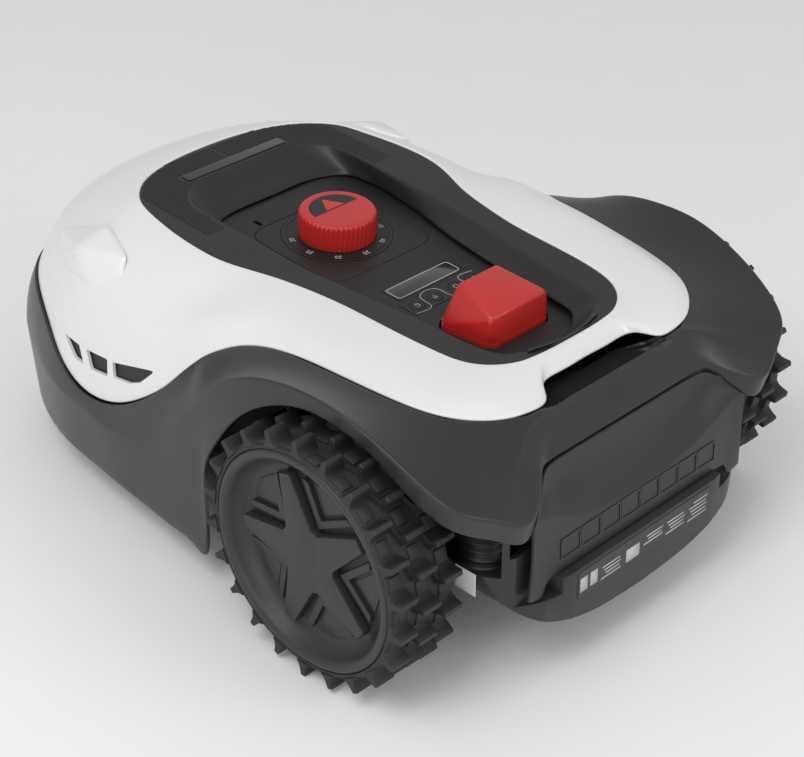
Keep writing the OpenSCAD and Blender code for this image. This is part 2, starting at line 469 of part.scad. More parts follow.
// ---- electrics -----------------------------------------------------------------------------
module main_board() color([0.1, 0.35, 0.18]) at_axle() difference() {
  translate([110, -50, 88]) cube([38, 100, 1.6]);
  for (x = [114, 144], y = [-46, 46]) translate([x, y, 80]) cylinder(r = 1.7, h = 20);
}
module battery_pack() color([0.2, 0.28, 0.42]) at_axle()
  for (y = [-38.5, -19.3, -0.1, 19.1, 38.3]) translate([-62, y, 73]) rotate([0, 90, 0]) cylinder(r = 9.4, h = 66);
module battery_door() color([0.22, 0.22, 0.23]) at_axle() difference() {
  union() {
    translate([-69, -61, 39]) cube([108, 122, 4]);
    translate([-82, -56, 34]) cube([134, 112, 2.6]);
    translate([-66, -40, 36.5]) cube([102, 80, 3]);
  }
  for (x = [-76, 46], y = [-50, 50]) translate([x, y, 30]) cylinder(r = 1.8, h = 12);
}
module door_screws() color([0.75, 0.75, 0.77]) at_axle()
  for (x = [-76, 46], y = [-50, 50]) translate([x, y, 0]) {
    translate([0, 0, 31.6]) cylinder(r = 3.2, h = 2.4);
    translate([0, 0, 33.9]) cylinder(r = 1.6, h = 16);
  }
module rating_label() color([0.6, 0.6, 0.6]) at_axle() translate([-131.5, -75, 62]) cube([0.5, 150, 22]);
module side_label() color([0.95, 0.95, 0.95]) at_axle() translate([-94, 141, 80]) cube([19, 0.5, 19]);
module gearmotor(s) color([0.6, 0.6, 0.62]) at_axle() mirror([0, s < 0 ? 1 : 0, 0])
  translate([0, 0, axle_z]) rotate([-90, 0, 0]) {
    difference() {
      translate([0, 0, 98]) cylinder(r = 30, h = 32);
      translate([0, 0, 110]) cylinder(r = shaft_r + 0.06, h = 30);
    }
    translate([0, 0, 58]) cylinder(r = 21, h = 40);
  }
module gearmotor_left() gearmotor(1);
module gearmotor_right() gearmotor(-1);

// ---- drive wheels ----------------------------------------------------------------------------
module lug_row(y, w, turn) translate([0, 0, y]) rotate([0, 0, turn]) linear_extrude(w) difference() {
  polygon([for (i = [0:lug_count - 1]) let (a = i * 360 / lug_count)
    each [for (q = [[-4.2, rim_r + 3], [-1.8, tyre_r], [0, tyre_r], [1.8, tyre_r], [4.2, rim_r + 3]])
      [q[1] * cos(a + q[0]), q[1] * sin(a + q[0])]]]);
  circle(r = rim_r + 1);
}
module tyre(s) color([0.1, 0.1, 0.1]) at_axle() mirror([0, s < 0 ? 1 : 0, 0])
  translate([0, 0, axle_z]) rotate([-90, 0, 0]) rotate([0, 0, 90]) {
    translate([0, 0, wheel_in + 1]) difference() {
      cylinder(r = rim_r + 3.4, h = wheel_out - wheel_in - 2, $fn = 96);
      translate([0, 0, -1]) cylinder(r = rim_r + 0.05, h = 80, $fn = 96);
    }
    lug_row(wheel_in, 17, 0);
    lug_row(wheel_in + 21.5, 17, 180 / lug_count);
    lug_row(wheel_out - 17, 17, 0);
  }
module rim(s) color([0.25, 0.25, 0.26]) at_axle() mirror([0, s < 0 ? 1 : 0, 0])
  translate([0, 0, axle_z]) rotate([-90, 0, 0]) {
    rotate_extrude($fn = 96)
      polygon([[shaft_r, wheel_in + 4], [18, wheel_in + 4], [22, 196], [76, 199], [79, wheel_in + 2], [rim_r, wheel_in + 2],
        [rim_r, wheel_out - 2], [81, wheel_out], [77, wheel_out - 2], [74, wheel_out - 9], [68, wheel_out - 15], [16, wheel_out - 15],
        [16, wheel_out - 10], [shaft_r, wheel_out - 10]]);
  }
// Five tapered arms, one of them towards the nose, over the rim's boss
module hub_star(s) color([0.22, 0.22, 0.23]) at_axle() mirror([0, s < 0 ? 1 : 0, 0])
  translate([0, 0, axle_z]) rotate([-90, 0, 0]) difference() {
    translate([0, 0, wheel_out - 14.9]) linear_extrude(8) polygon([for (i = [0:4]) let (a = i * 72)
      each [for (q = [[-4.8, 66], [4.8, 66], [36, 23]]) [q[1] * cos(a + q[0]), q[1] * sin(a + q[0])]]]);
    translate([0, 0, wheel_out - 16]) cylinder(r = 16.3, h = 6.1);
  }
module drive_shaft(s) color([0.7, 0.7, 0.72]) at_axle() mirror([0, s < 0 ? 1 : 0, 0])
  translate([0, 0, axle_z]) rotate([-90, 0, 0]) {
    translate([0, 0, 112]) cylinder(r = shaft_r, h = 98);
    translate([0, 0, 152]) cylinder(r = 11, h = 12);
  }
module tyre_left() tyre(1);
module tyre_right() tyre(-1);
module rim_left() rim(1);
module rim_right() rim(-1);
module hub_star_left() hub_star(1);
module hub_star_right() hub_star(-1);
module drive_shaft_left() drive_shaft(1);
module drive_shaft_right() drive_shaft(-1);
module sensor_cover_left() sensor_cover(1);
module sensor_cover_right() sensor_cover(-1);

// ---- front casters -------------------------------------------------------------------------------
module caster_fork(s) color([0.2, 0.2, 0.21]) at_axle() translate([caster_x, s * caster_y, 0]) difference() {
  union() {
    translate([0, 0, 64]) cylinder(r = 5, h = 14);
    translate([0, 0, 61]) cylinder(r = 16, h = 4);
    for (y = [-14.6, 11.6]) translate([-caster_trail - 9, y, caster_r]) cube([21, 3, 31.2]);
    translate([-caster_trail - 9, -14.6, 61]) cube([28, 29.2, 3.4]);
    for (y = [-14.6, 11.6]) translate([-caster_trail, y, caster_r]) rotate([-90, 0, 0]) cylinder(r = 9, h = 3);
  }
  translate([-caster_trail, -30, caster_r]) rotate([-90, 0, 0]) cylinder(r = 3, h = 60);
}
module caster_wheel(s) color([0.12, 0.12, 0.12]) at_axle() translate([caster_x - caster_trail, s * caster_y, caster_r])
  rotate([-90, 0, 0]) rotate_extrude() polygon([[3.06, -10.6], [12, -10.6], [20, -8], [26, -10.6], [28.6, -9], [caster_r, -5],
    [caster_r, 5], [28.6, 9], [26, 10.6], [20, 8], [12, 10.6], [3.06, 10.6]]);
module caster_axle(s) color([0.72, 0.72, 0.74]) at_axle() translate([caster_x - caster_trail, s * caster_y, caster_r])
  rotate([-90, 0, 0]) {
    translate([0, 0, -15]) cylinder(r = 3, h = 30);
    for (z = [-16.6, 14.8]) translate([0, 0, z]) cylinder(r = 4.6, h = 1.8);
  }
module caster_fork_left() caster_fork(1);
module caster_fork_right() caster_fork(-1);
module caster_wheel_left() caster_wheel(1);
module caster_wheel_right() caster_wheel(-1);
module caster_axle_left() caster_axle(1);
module caster_axle_right() caster_axle(-1);

outer_shell();
top_cover();
deck_frame();
badge_strip();
sensor_cover_left();
sensor_cover_right();
vent_inserts();
rear_fascia();
charge_contacts();
float_stems();
float_bellows();
chassis_tub();
chassis_lid();
control_panel();
scale_ring();
display_window();
keypad_overlay();
key_power();
key_start();
key_home();
key_ok();
stop_button();
stop_spring();
stop_switch();
height_knob();
knob_pointer();
knob_spindle();
motor_carrier();
cutting_motor();
blade_disc();
blade_screws();
blade_1();
blade_2();
blade_3();
skid_disc();
main_board();
battery_pack();
battery_door();
door_screws();
rating_label();
side_label();
gearmotor_left();
gearmotor_right();
tyre_left();
rim_left();
hub_star_left();
drive_shaft_left();
tyre_right();
rim_right();
hub_star_right();
drive_shaft_right();
caster_fork_left();
caster_wheel_left();
caster_axle_left();
caster_fork_right();
caster_wheel_right();
caster_axle_right();
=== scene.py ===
import bpy, bmesh, math
import numpy as np
from mathutils import Vector, Matrix
from mathutils.bvhtree import BVHTree


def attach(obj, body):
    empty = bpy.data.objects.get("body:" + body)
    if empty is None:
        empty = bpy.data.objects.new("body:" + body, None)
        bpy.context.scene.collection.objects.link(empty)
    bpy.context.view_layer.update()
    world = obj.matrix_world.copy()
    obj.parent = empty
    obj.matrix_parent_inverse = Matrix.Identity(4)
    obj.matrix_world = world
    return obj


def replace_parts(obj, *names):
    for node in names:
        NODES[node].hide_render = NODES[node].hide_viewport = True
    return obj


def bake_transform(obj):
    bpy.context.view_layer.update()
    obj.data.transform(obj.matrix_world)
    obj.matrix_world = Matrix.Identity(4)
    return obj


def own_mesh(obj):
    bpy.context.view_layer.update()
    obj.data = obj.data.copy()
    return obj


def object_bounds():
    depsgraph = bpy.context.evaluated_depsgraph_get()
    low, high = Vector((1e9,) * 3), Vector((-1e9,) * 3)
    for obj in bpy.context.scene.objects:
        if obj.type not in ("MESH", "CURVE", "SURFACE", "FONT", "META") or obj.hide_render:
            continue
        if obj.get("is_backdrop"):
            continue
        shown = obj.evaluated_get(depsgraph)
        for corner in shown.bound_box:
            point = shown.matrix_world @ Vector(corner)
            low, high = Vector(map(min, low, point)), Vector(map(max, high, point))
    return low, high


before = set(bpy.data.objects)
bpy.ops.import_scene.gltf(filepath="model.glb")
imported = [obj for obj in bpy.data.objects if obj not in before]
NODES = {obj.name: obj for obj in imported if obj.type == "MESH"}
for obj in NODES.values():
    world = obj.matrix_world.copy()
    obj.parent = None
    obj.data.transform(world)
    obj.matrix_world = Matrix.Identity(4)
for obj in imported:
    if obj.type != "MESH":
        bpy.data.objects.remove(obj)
cad_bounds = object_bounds()
AX = -164.5            # the drive axle, mm along X in the row frame
AZ = 101.0             # axle height, mm
TILT = math.radians(3.15)
PANEL_Z = 196.0


# ------------------------------------------------------------------ basics
def W(p):
    """axle frame, mm -> row frame, metres"""
    p = np.asarray(p, float)
    return (p + np.array([AX, 0.0, 0.0])) / 1000.0


def onp(x, y, z=0.0):
    """panel plane, mm -> axle frame, mm"""
    return np.array([x * math.cos(TILT) - z * math.sin(TILT), y, PANEL_Z + x * math.sin(TILT) + z * math.cos(TILT)])


def link(me, name):
    ob = bpy.data.objects.new(name, me)
    bpy.context.scene.collection.objects.link(ob)
    return ob


def mesh(name, verts, faces, smooth=True):
    """verts in the axle frame, mm"""
    me = bpy.data.meshes.new(name)
    me.from_pydata([tuple(v) for v in W(verts)], [], [tuple(int(i) for i in f) for f in faces])
    me.validate()
    me.update()
    if smooth:
        me.polygons.foreach_set("use_smooth", [True] * len(me.polygons))
    return link(me, name)


def fix_normals(ob):
    bm = bmesh.new()
    bm.from_mesh(ob.data)
    bmesh.ops.recalc_face_normals(bm, faces=bm.faces)
    bm.to_mesh(ob.data)
    bm.free()


def activate(ob):
    bpy.context.view_layer.objects.active = ob
    for o in bpy.context.selected_objects:
        o.select_set(False)
    ob.select_set(True)


def apply_mods(ob):
    dg = bpy.context.evaluated_depsgraph_get()
    me = bpy.data.meshes.new_from_object(ob.evaluated_get(dg))
    ob.modifiers.clear()
    old = ob.data
    ob.data = me
    bpy.data.meshes.remove(old)


def bevel(ob, mm, seg=2, angle=30):
    m = ob.modifiers.new("bev", "BEVEL")
    m.width = mm / 1000.0
    m.segments = seg
    m.limit_method = "ANGLE"
    m.angle_limit = math.radians(angle)
    m.use_clamp_overlap = True
    m.harden_normals = False
    apply_mods(ob)


def shade(ob, angle=35):
    me = ob.data
    me.polygons.foreach_set("use_smooth", [True] * len(me.polygons))
    try:
        me.set_sharp_from_angle(angle=math.radians(angle))
    except Exception:
        pass
    me.update()


def boolean(ob, cutter, op="DIFFERENCE"):
    m = ob.modifiers.new("b", "BOOLEAN")
    m.operation = op
    m.solver = "EXACT"
    m.object = cutter
    apply_mods(ob)
    bpy.data.objects.remove(cutter)


def join(name, obs):
    bm = bmesh.new()
    for o in obs:
        bm.from_mesh(o.data)
    me = bpy.data.meshes.new(name)
    bm.to_mesh(me)
    bm.free()
    for o in obs:
        bpy.data.objects.remove(o)
    return link(me, name)


# ------------------------------------------------------------------ curves
def natural_second(t, Y):
    n = len(t)
    h = np.diff(t)
    A = np.zeros((n, n))
    B = np.zeros((n,) + Y.shape[1:])
    A[0, 0] = A[-1, -1] = 1.0
    for i in range(1, n - 1):
        A[i, i - 1] = h[i - 1]
        A[i, i] = 2 * (h[i - 1] + h[i])
        A[i, i + 1] = h[i]
        B[i] = 6 * ((Y[i + 1] - Y[i]) / h[i] - (Y[i] - Y[i - 1]) / h[i - 1])
    return np.linalg.solve(A, B.reshape(n, -1)).reshape(B.shape)


def cubic_eval(t, Y, M, u):
    k = np.clip(np.searchsorted(t, u, side="right") - 1, 0, len(t) - 2)
    h = t[k + 1] - t[k]
    a = (t[k + 1] - u) / h
    b = (u - t[k]) / h
    sh = (-1,) + (1,) * (Y.ndim - 1)
    a = a.reshape(sh); b = b.reshape(sh); h = h.reshape(sh)
    return a * Y[k] + b * Y[k + 1] + ((a ** 3 - a) * M[k] + (b ** 3 - b) * M[k + 1]) * h * h / 6


def open_spline(P, n, power=0.6, u=None):
    """P (k,...,3) along axis 0 -> n samples, even in arc length"""
    P = np.asarray(P, float)
    d = np.linalg.norm(np.diff(P, axis=0).reshape(len(P) - 1, -1), axis=1)
    t = np.concatenate([[0], np.cumsum(np.maximum(d, 1e-6) ** power)])
    M = natural_second(t, P)
    if u is None:
        fine = np.linspace(0, t[-1], 200)
        F = cubic_eval(t, P, M, fine)
        s = np.concatenate([[0], np.cumsum(np.linalg.norm(np.diff(F, axis=0).reshape(199, -1), axis=1))])
        u = np.interp(np.linspace(0, s[-1], n), s, fine)
    return cubic_eval(t, P, M, u)


def closed_spline(R, s):
    """R (n,m,3) closed along axis 0, periodic cubic spline, s samples per span"""
    R = np.asarray(R, float)
    n = len(R)
    ext = 6
    idx = np.arange(-ext, n + ext + 1) % n
    E = R[idx]
    d = np.linalg.norm(np.diff(E, axis=0), axis=2).mean(1)
    t = np.concatenate([[0], np.cumsum(np.maximum(d, 1e-6) ** 0.7)])
    M = natural_second(t, E)
    u = np.concatenate([np.linspace(t[ext + i], t[ext + i + 1], s, endpoint=False) for i in range(n)])
    return cubic_eval(t, E, M, u)


def mirror_ring(rows):
    rows = np.asarray(rows, float)
    back = rows[-2:0:-1].copy()
    back[..., 1] *= -1
    return np.concatenate([rows, back])


def grid_normals(G, closed=True):
    if closed:
        du = np.roll(G, -1, 0) - np.roll(G, 1, 0)
    else:
        du = np.gradient(G, axis=0)
    dv = np.gradient(G, axis=1)
    n = np.cross(dv, du)
    return n / np.maximum(np.linalg.norm(n, axis=2, keepdims=True), 1e-9)


def skin(name, G, t, arc=5, closed=True):
    """closed shell of thickness t under the outer grid G (n,m,3), its two long edges rounded"""
    N = grid_normals(G, closed)
    n, m, _ = G.shape

    def edge(j, j2):
        d = G[:, j] - G[:, j2]
        d /= np.maximum(np.linalg.norm(d, axis=1, keepdims=True), 1e-9)
        out = []
        for k in range(1, arc):
            a = math.pi * k / arc
            out.append(G[:, j] + (t / 2) * math.sin(a) * d - (t / 2) * (1 - math.cos(a)) * N[:, j])
        return out
    H = G - t * N
    cols = [G[:, j] for j in range(m)] + edge(m - 1, m - 2) + [H[:, j] for j in range(m - 1, -1, -1)] + edge(0, 1)[::-1]
    q = len(cols)
    V = np.stack(cols, 1).reshape(-1, 3)
    F = []
    for i in range(n if closed else n - 1):
        i2 = (i + 1) % n
        for k in range(q):
            k2 = (k + 1) % q
            F.append((i * q + k, i2 * q + k, i2 * q + k2, i * q + k2))
    if not closed:
        F.append(tuple(range(q)))
        F.append(tuple((n - 1) * q + k for k in range(q - 1, -1, -1)))
    ob = mesh(name, V, F)
    fix_normals(ob)
    return ob


def revolve(name, prof, axis="z", seg=96, centre=(0, 0, 0), closed_prof=False):
    """prof: list of (r, h); turned about an axis through centre"""
    V, F = [], []
    n = len(prof)
    for i in range(seg):
        a = 2 * math.pi * i / seg
        for r, h in prof:
            c, s = r * math.cos(a), r * math.sin(a)
            V.append({"z": (c, s, h), "y": (s, h, c), "x": (h, c, s)}[axis])
    V = np.array(V) + np.array(centre)
    for i in range(seg):
        i2 = (i + 1) % seg
        for k in range(n if closed_prof else n - 1):
            k2 = (k + 1) % n
            F.append((i * n + k, i2 * n + k, i2 * n + k2, i * n + k2))
    if not closed_prof:
        F.append(tuple(i * n for i in range(seg)))
        F.append(tuple(i * n + n - 1 for i in range(seg)))
    ob = mesh(name, V, F)
    fix_normals(ob)
    return ob


def round_poly(P, r, seg=5):
    """2D polygon with its corners rounded by r (a number or one per corner)"""
    P = [np.array(p, float) for p in P]
    n = len(P)
    out = []
    for i in range(n):
        a, b, c = P[i - 1], P[i], P[(i + 1) % n]
        rr = r[i] if isinstance(r, (list, tuple)) else r
        u = (a - b) / np.linalg.norm(a - b)
        v = (c - b) / np.linalg.norm(c - b)
        ang = math.acos(max(-1, min(1, float(u @ v))))
        d = min(rr / math.tan(ang / 2), 0.49 * np.linalg.norm(a - b), 0.49 * np.linalg.norm(c - b))
        p, q = b + u * d, b + v * d
        for k in range(seg + 1):
            t = k / seg
            out.append((1 - t) ** 2 * p + 2 * t * (1 - t) * b + t * t * q)
    return out


def prism(name, poly, f0, f1):
    """poly of 2D points; f0 and f1 map (u, v) to the axle frame for the bottom and the top"""
    n = len(poly)
    V = [f0(p[0], p[1]) for p in poly] + [f1(p[0], p[1]) for p in poly]
    F = [tuple(range(n - 1, -1, -1)), tuple(range(n, 2 * n))]
    for i in range(n):
        j = (i + 1) % n
        F.append((i, j, n + j, n + i))
    ob = mesh(name, V, F)
    fix_normals(ob)
    return ob


def box_at(name, lo, hi, bev=0.4, seg=2):
    poly = [(lo[0], lo[1]), (hi[0], lo[1]), (hi[0], hi[1]), (lo[0], hi[1])]
    ob = prism(name, poly, lambda a, b: (a, b, lo[2]), lambda a, b: (a, b, hi[2]))
    if bev:
        bevel(ob, bev, seg)
    return ob


def frame_ring(name, poly, width, f0, f1):
    """thin closed band of a width along a closed 2D polygon"""
    P = np.array(poly, float)
    n = len(P)
    T = np.roll(P, -1, 0) - np.roll(P, 1, 0)
    T /= np.maximum(np.linalg.norm(T, axis=1, keepdims=True), 1e-9)
    Nn = np.stack([T[:, 1], -T[:, 0]], 1)
    A = P + Nn * width / 2
    B = P - Nn * width / 2
    V = [f0(*p) for p in A] + [f1(*p) for p in A] + [f1(*p) for p in B] + [f0(*p) for p in B]
    F = []
    for i in range(n):
        j = (i + 1) % n
        for k in range(4):
            k2 = (k + 1) % 4
            F.append((k * n + i, k * n + j, k2 * n + j, k2 * n + i))
    ob = mesh(name, V, F)
    fix_normals(ob)
    return ob


def band(name, poly, width, f0, f1):
    """thin open band along a 2D polyline"""
    P = np.array(poly, float)
    T = np.gradient(P, axis=0)
    T /= np.maximum(np.linalg.norm(T, axis=1, keepdims=True), 1e-9)
    Nn = np.stack([T[:, 1], -T[:, 0]], 1)
    A = P + Nn * width / 2
    B = P - Nn * width / 2
    n = len(P)
    V = [f0(*p) for p in A] + [f1(*p) for p in A] + [f1(*p) for p in B] + [f0(*p) for p in B]
    F = [(0, n, 2 * n, 3 * n), (n - 1, 4 * n - 1, 3 * n - 1, 2 * n - 1)]
    for i in range(n - 1):
        for k in range(4):
            k2 = (k + 1) % 4
            F.append((k * n + i, k * n + i + 1, k2 * n + i + 1, k2 * n + i))
    ob = mesh(name, V, F)
    fix_normals(ob)
    return ob


def smooth_line(P, n=40):
    P = np.array([[p[0], p[1], 0] for p in P], float)
    return open_spline(P, n)[:, :2]


# ------------------------------------------------------------------ materials
def mat(name, base, rough=0.5, grain=2200, bump=0.05, var=0.06, rvar=0.08, metallic=0.0, coat=0.0, spec=0.5, dirt=0.0,
        edge=0.0, brushed=None, sheen=0.0, big=18.0, coat_rough=0.08):
    m = bpy.data.materials.new(name)
    m.use_nodes = True
    nt = m.node_tree
    N, L = nt.nodes, nt.links
    b = N["Principled BSDF"]
    b.inputs["Metallic"].default_value = metallic
    b.inputs["Specular IOR Level"].default_value = spec
    b.inputs["Coat Weight"].default_value = coat
    b.inputs["Coat Roughness"].default_value = coat_rough
    if sheen:
        b.inputs["Sheen Weight"].default_value = sheen
        b.inputs["Sheen Roughness"].default_value = 0.5
    tc = N.new("ShaderNodeTexCoord")
    mp = N.new("ShaderNodeMapping")
    L.new(tc.outputs["Object"], mp.inputs["Vector"])
    if brushed:
        mp.inputs["Scale"].default_value = brushed
    # slow mottling of the colour
    n1 = N.new("ShaderNodeTexNoise")
    n1.inputs["Scale"].default_value = big
    n1.inputs["Detail"].default_value = 6.0
    L.new(tc.outputs["Object"], n1.inputs["Vector"])
    # fine grain
    n2 = N.new("ShaderNodeTexNoise")
    n2.inputs["Scale"].default_value = grain
    n2.inputs["Detail"].default_value = 3.0
    n2.inputs["Roughness"].default_value = 0.6
    L.new(mp.outputs["Vector"], n2.inputs["Vector"])
    v3 = N.new("ShaderNodeTexVoronoi")
    v3.inputs["Scale"].default_value = grain * 0.55
    L.new(mp.outputs["Vector"], v3.inputs["Vector"])
    ramp = N.new("ShaderNodeMapRange")
    ramp.inputs["From Min"].default_value = 0.3
    ramp.inputs["From Max"].default_value = 0.7
    ramp.inputs["To Min"].default_value = 1.0 - var
    ramp.inputs["To Max"].default_value = 1.0 + var
    L.new(n1.outputs["Fac"], ramp.inputs["Value"])
    mul = N.new("ShaderNodeVectorMath")
    mul.operation = "MULTIPLY"
    mul.inputs[0].default_value = base
    cmb = N.new("ShaderNodeCombineXYZ")
    for k in range(3):
        L.new(ramp.outputs["Result"], cmb.inputs[k])
    L.new(cmb.outputs["Vector"], mul.inputs[1])
    col = mul.outputs["Vector"]
    # painted highlight: convex edges (found by Pointiness) get a lighter base colour, which stands in for the light
    # caught on rounded edges
    if edge:
        geo = N.new("ShaderNodeNewGeometry")
        er = N.new("ShaderNodeMapRange")
        er.inputs["From Min"].default_value = 0.52
        er.inputs["From Max"].default_value = 0.62
        er.inputs["To Min"].default_value = 0.0
        er.inputs["To Max"].default_value = edge
        L.new(geo.outputs["Pointiness"], er.inputs["Value"])
        mx = N.new("ShaderNodeMix")
        mx.data_type = "RGBA"
        mx.inputs["B"].default_value = (min(1, base[0] * 2.2 + 0.03), min(1, base[1] * 2.2 + 0.03), min(1, base[2] * 2.2 + 0.03), 1)
        L.new(er.outputs["Result"], mx.inputs["Factor"])
        L.new(col, mx.inputs["A"])
        col = mx.outputs["Result"]
    L.new(col, b.inputs["Base Color"])
    rr = N.new("ShaderNodeMapRange")
    rr.inputs["From Min"].default_value = 0.25
    rr.inputs["From Max"].default_value = 0.75
    rr.inputs["To Min"].default_value = max(0.02, rough - rvar)
    rr.inputs["To Max"].default_value = min(1.0, rough + rvar)
    ad = N.new("ShaderNodeMath")
    ad.operation = "ADD"
    hf = N.new("ShaderNodeMath")
    hf.operation = "MULTIPLY"
    hf.inputs[1].default_value = 0.5
    hg = N.new("ShaderNodeMath")
    hg.operation = "MULTIPLY"
    hg.inputs[1].default_value = 0.5
    L.new(n1.outputs["Fac"], hf.inputs[0])
    L.new(n2.outputs["Fac"], hg.inputs[0])
    L.new(hf.outputs[0], ad.inputs[0])
    L.new(hg.outputs[0], ad.inputs[1])
    L.new(ad.outputs[0], rr.inputs["Value"])
    L.new(rr.outputs["Result"], b.inputs["Roughness"])
    hs = N.new("ShaderNodeMath")
    hs.operation = "ADD"
    hv = N.new("ShaderNodeMath")
    hv.operation = "MULTIPLY"
    hv.inputs[1].default_value = 0.6
    L.new(v3.outputs["Distance"], hv.inputs[0])
    L.new(n2.outputs["Fac"], hs.inputs[0])
    L.new(hv.outputs[0], hs.inputs[1])
    bp = N.new("ShaderNodeBump")
    bp.inputs["Strength"].default_value = 1.0
    bp.inputs["Distance"].default_value = bump / 1000.0
    L.new(hs.outputs[0], bp.inputs["Height"])
    L.new(bp.outputs["Normal"], b.inputs["Normal"])
    return m


# edge= sets the strength of the painted highlight on convex edges
M = {
    "shell": mat("m_shell", (0.0205, 0.0205, 0.0220), 0.33, 2600, 0.022, 0.07, 0.06, spec=0.5, edge=0.25),
    "cover": mat("m_cover", (0.78, 0.78, 0.77), 0.28, 900, 0.0015, 0.012, 0.03, coat=0.35, spec=0.5),
    "deck": mat("m_deck", (0.0115, 0.0115, 0.0120), 0.46, 2800, 0.035, 0.08, 0.06, edge=0.2),
    "panel": mat("m_panel", (0.0075, 0.0075, 0.008), 0.5, 2800, 0.05, 0.08, 0.07, edge=0.15),
    "badge": mat("m_badge", (0.034, 0.034, 0.036), 0.32, 1800, 0.01, 0.05, 0.05),
    "trim": mat("m_trim", (0.010, 0.010, 0.010), 0.5, 2000, 0.03, 0.1, 0.08),
    "red": mat("m_red", (0.50, 0.018, 0.014), 0.36, 2000, 0.022, 0.05, 0.07, coat=0.12, edge=0.12),
    "gloss": mat("m_display", (0.008, 0.008, 0.009), 0.12, 600, 0.002, 0.05, 0.04, coat=0.5),
    "print": mat("m_print", (0.50, 0.50, 0.50), 0.55, 3000, 0.01, 0.1, 0.06),
    "chassis": mat("m_chassis", (0.0175, 0.0175, 0.0190), 0.42, 2600, 0.05, 0.07, 0.07, edge=0.25),
    "inner": mat("m_inner", (0.055, 0.055, 0.058), 0.55, 1800, 0.04, 0.08, 0.08),
    "rubber": mat("m_rubber", (0.013, 0.013, 0.013), 0.45, 1600, 0.05, 0.12, 0.12, edge=0.2),
    "tyre": mat("m_tyre", (0.0115, 0.0115, 0.0117), 0.62, 1500, 0.09, 0.18, 0.10, edge=0.35, big=30),
    "rim": mat("m_rim", (0.024, 0.024, 0.0255), 0.46, 2400, 0.04, 0.07, 0.07, edge=0.3),
    "steel": mat("m_steel", (0.52, 0.52, 0.53), 0.32, 900, 0.01, 0.1, 0.1, metallic=1.0, brushed=(1, 1, 14)),
    "disc": mat("m_disc", (0.40, 0.41, 0.42), 0.38, 900, 0.015, 0.12, 0.12, metallic=1.0, brushed=(12, 1, 1)),
    "blade": mat("m_blade", (0.62, 0.63, 0.64), 0.25, 1400, 0.01, 0.08, 0.1, metallic=1.0, brushed=(1, 16, 1)),
    "alloy": mat("m_alloy", (0.45, 0.46, 0.47), 0.4, 1600, 0.02, 0.08, 0.1, metallic=1.0),
    "brass": mat("m_brass", (0.70, 0.52, 0.24), 0.34, 1200, 0.01, 0.1, 0.1, metallic=1.0),
    "board": mat("m_board", (0.02, 0.11, 0.05), 0.35, 900, 0.02, 0.1, 0.08),
    "cell": mat("m_cell", (0.04, 0.08, 0.18), 0.35, 700, 0.01, 0.05, 0.06),
    "label": mat("m_label", (0.80, 0.80, 0.79), 0.5, 1800, 0.01, 0.03, 0.06),
}


def give(ob, m):
    ob.data.materials.clear()
    ob.data.materials.append(M[m])
    return ob


def tidy(ob):
    """no faces without area"""
    bm = bmesh.new()
    bm.from_mesh(ob.data)
    bmesh.ops.dissolve_degenerate(bm, dist=2e-6, edges=bm.edges)
    bm.to_mesh(ob.data)
    bm.free()


def piece(ob, m, body, slot, *nodes, ang=35, sh=True):
    tidy(ob)
    if sh:
        shade(ob, ang)
    give(ob, m)
    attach(ob, body)
    if nodes:
        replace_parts(ob, *nodes)
    return ob


# ------------------------------------------------------------------ camera and stage
pitch, head, roll = math.radians(31.80), math.radians(45.12), math.radians(0.11)
fv = np.array([math.cos(pitch) * math.cos(head), -math.cos(pitch) * math.sin(head), -math.sin(pitch)])
rv = np.array([-math.sin(head), -math.cos(head), 0.0])
dv = np.cross(fv, rv)
r2 = math.cos(roll) * rv + math.sin(roll) * dv
d2 = -math.sin(roll) * rv + math.cos(roll) * dv
cam_d = bpy.data.cameras.new("cam")
cam_d.lens = 1911.6 / 804 * 36
cam_d.sensor_width = 36
cam_d.sensor_fit = "HORIZONTAL"
cam_d.clip_end = 50
cam = bpy.data.objects.new("cam", cam_d)
bpy.context.scene.collection.objects.link(cam)
pos = W([-794.3, 915.8, 904.5])
cam.matrix_world = Matrix(((r2[0], -d2[0], -fv[0], pos[0]), (r2[1], -d2[1], -fv[1], pos[1]), (r2[2], -d2[2], -fv[2], pos[2]), (0, 0, 0, 1)))
bpy.context.scene.camera = cam

me = bpy.data.meshes.new("floor")
me.from_pydata([(-6, -6, 0), (6, -6, 0), (6, 6, 0), (-6, 6, 0)], [], [(0, 1, 2, 3)])
floor = link(me, "floor")
fm = mat("m_floor", (0.93, 0.93, 0.93), 0.75, 300, 0.01, 0.004, 0.02)
floor.data.materials.append(fm)
floor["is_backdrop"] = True

world = bpy.data.worlds.new("w")
bpy.context.scene.world = world
world.use_nodes = True
bg = world.node_tree.nodes["Background"]
bg.inputs["Color"].default_value = (1, 1, 1, 1)
bg.inputs["Strength"].default_value = 0.58
bpy.context.scene.view_settings.view_transform = "Standard"


def area(name, loc, target, size, power, size_y=None):
    ld = bpy.data.lights.new(name, "AREA")
    ld.shape = "RECTANGLE"
    ld.size = size
    ld.size_y = size_y or size
    ld.energy = power
    lo = bpy.data.objects.new(name, ld)
    bpy.context.scene.collection.objects.link(lo)
    lo.location = loc
    lo.rotation_euler = (Vector(target) - Vector(loc)).to_track_quat("-Z", "Y").to_euler()
    return lo


area("key", (-0.3, 1.3, 1.9), (0, 0, 0.1), 1.1, 17)
area("left", (-1.3, 1.9, 0.75), (0, 0, 0.1), 0.9, 7, 0.45)
area("rear", (-2.1, -0.5, 1.2), (0, 0, 0.1), 1.0, 7, 0.5)

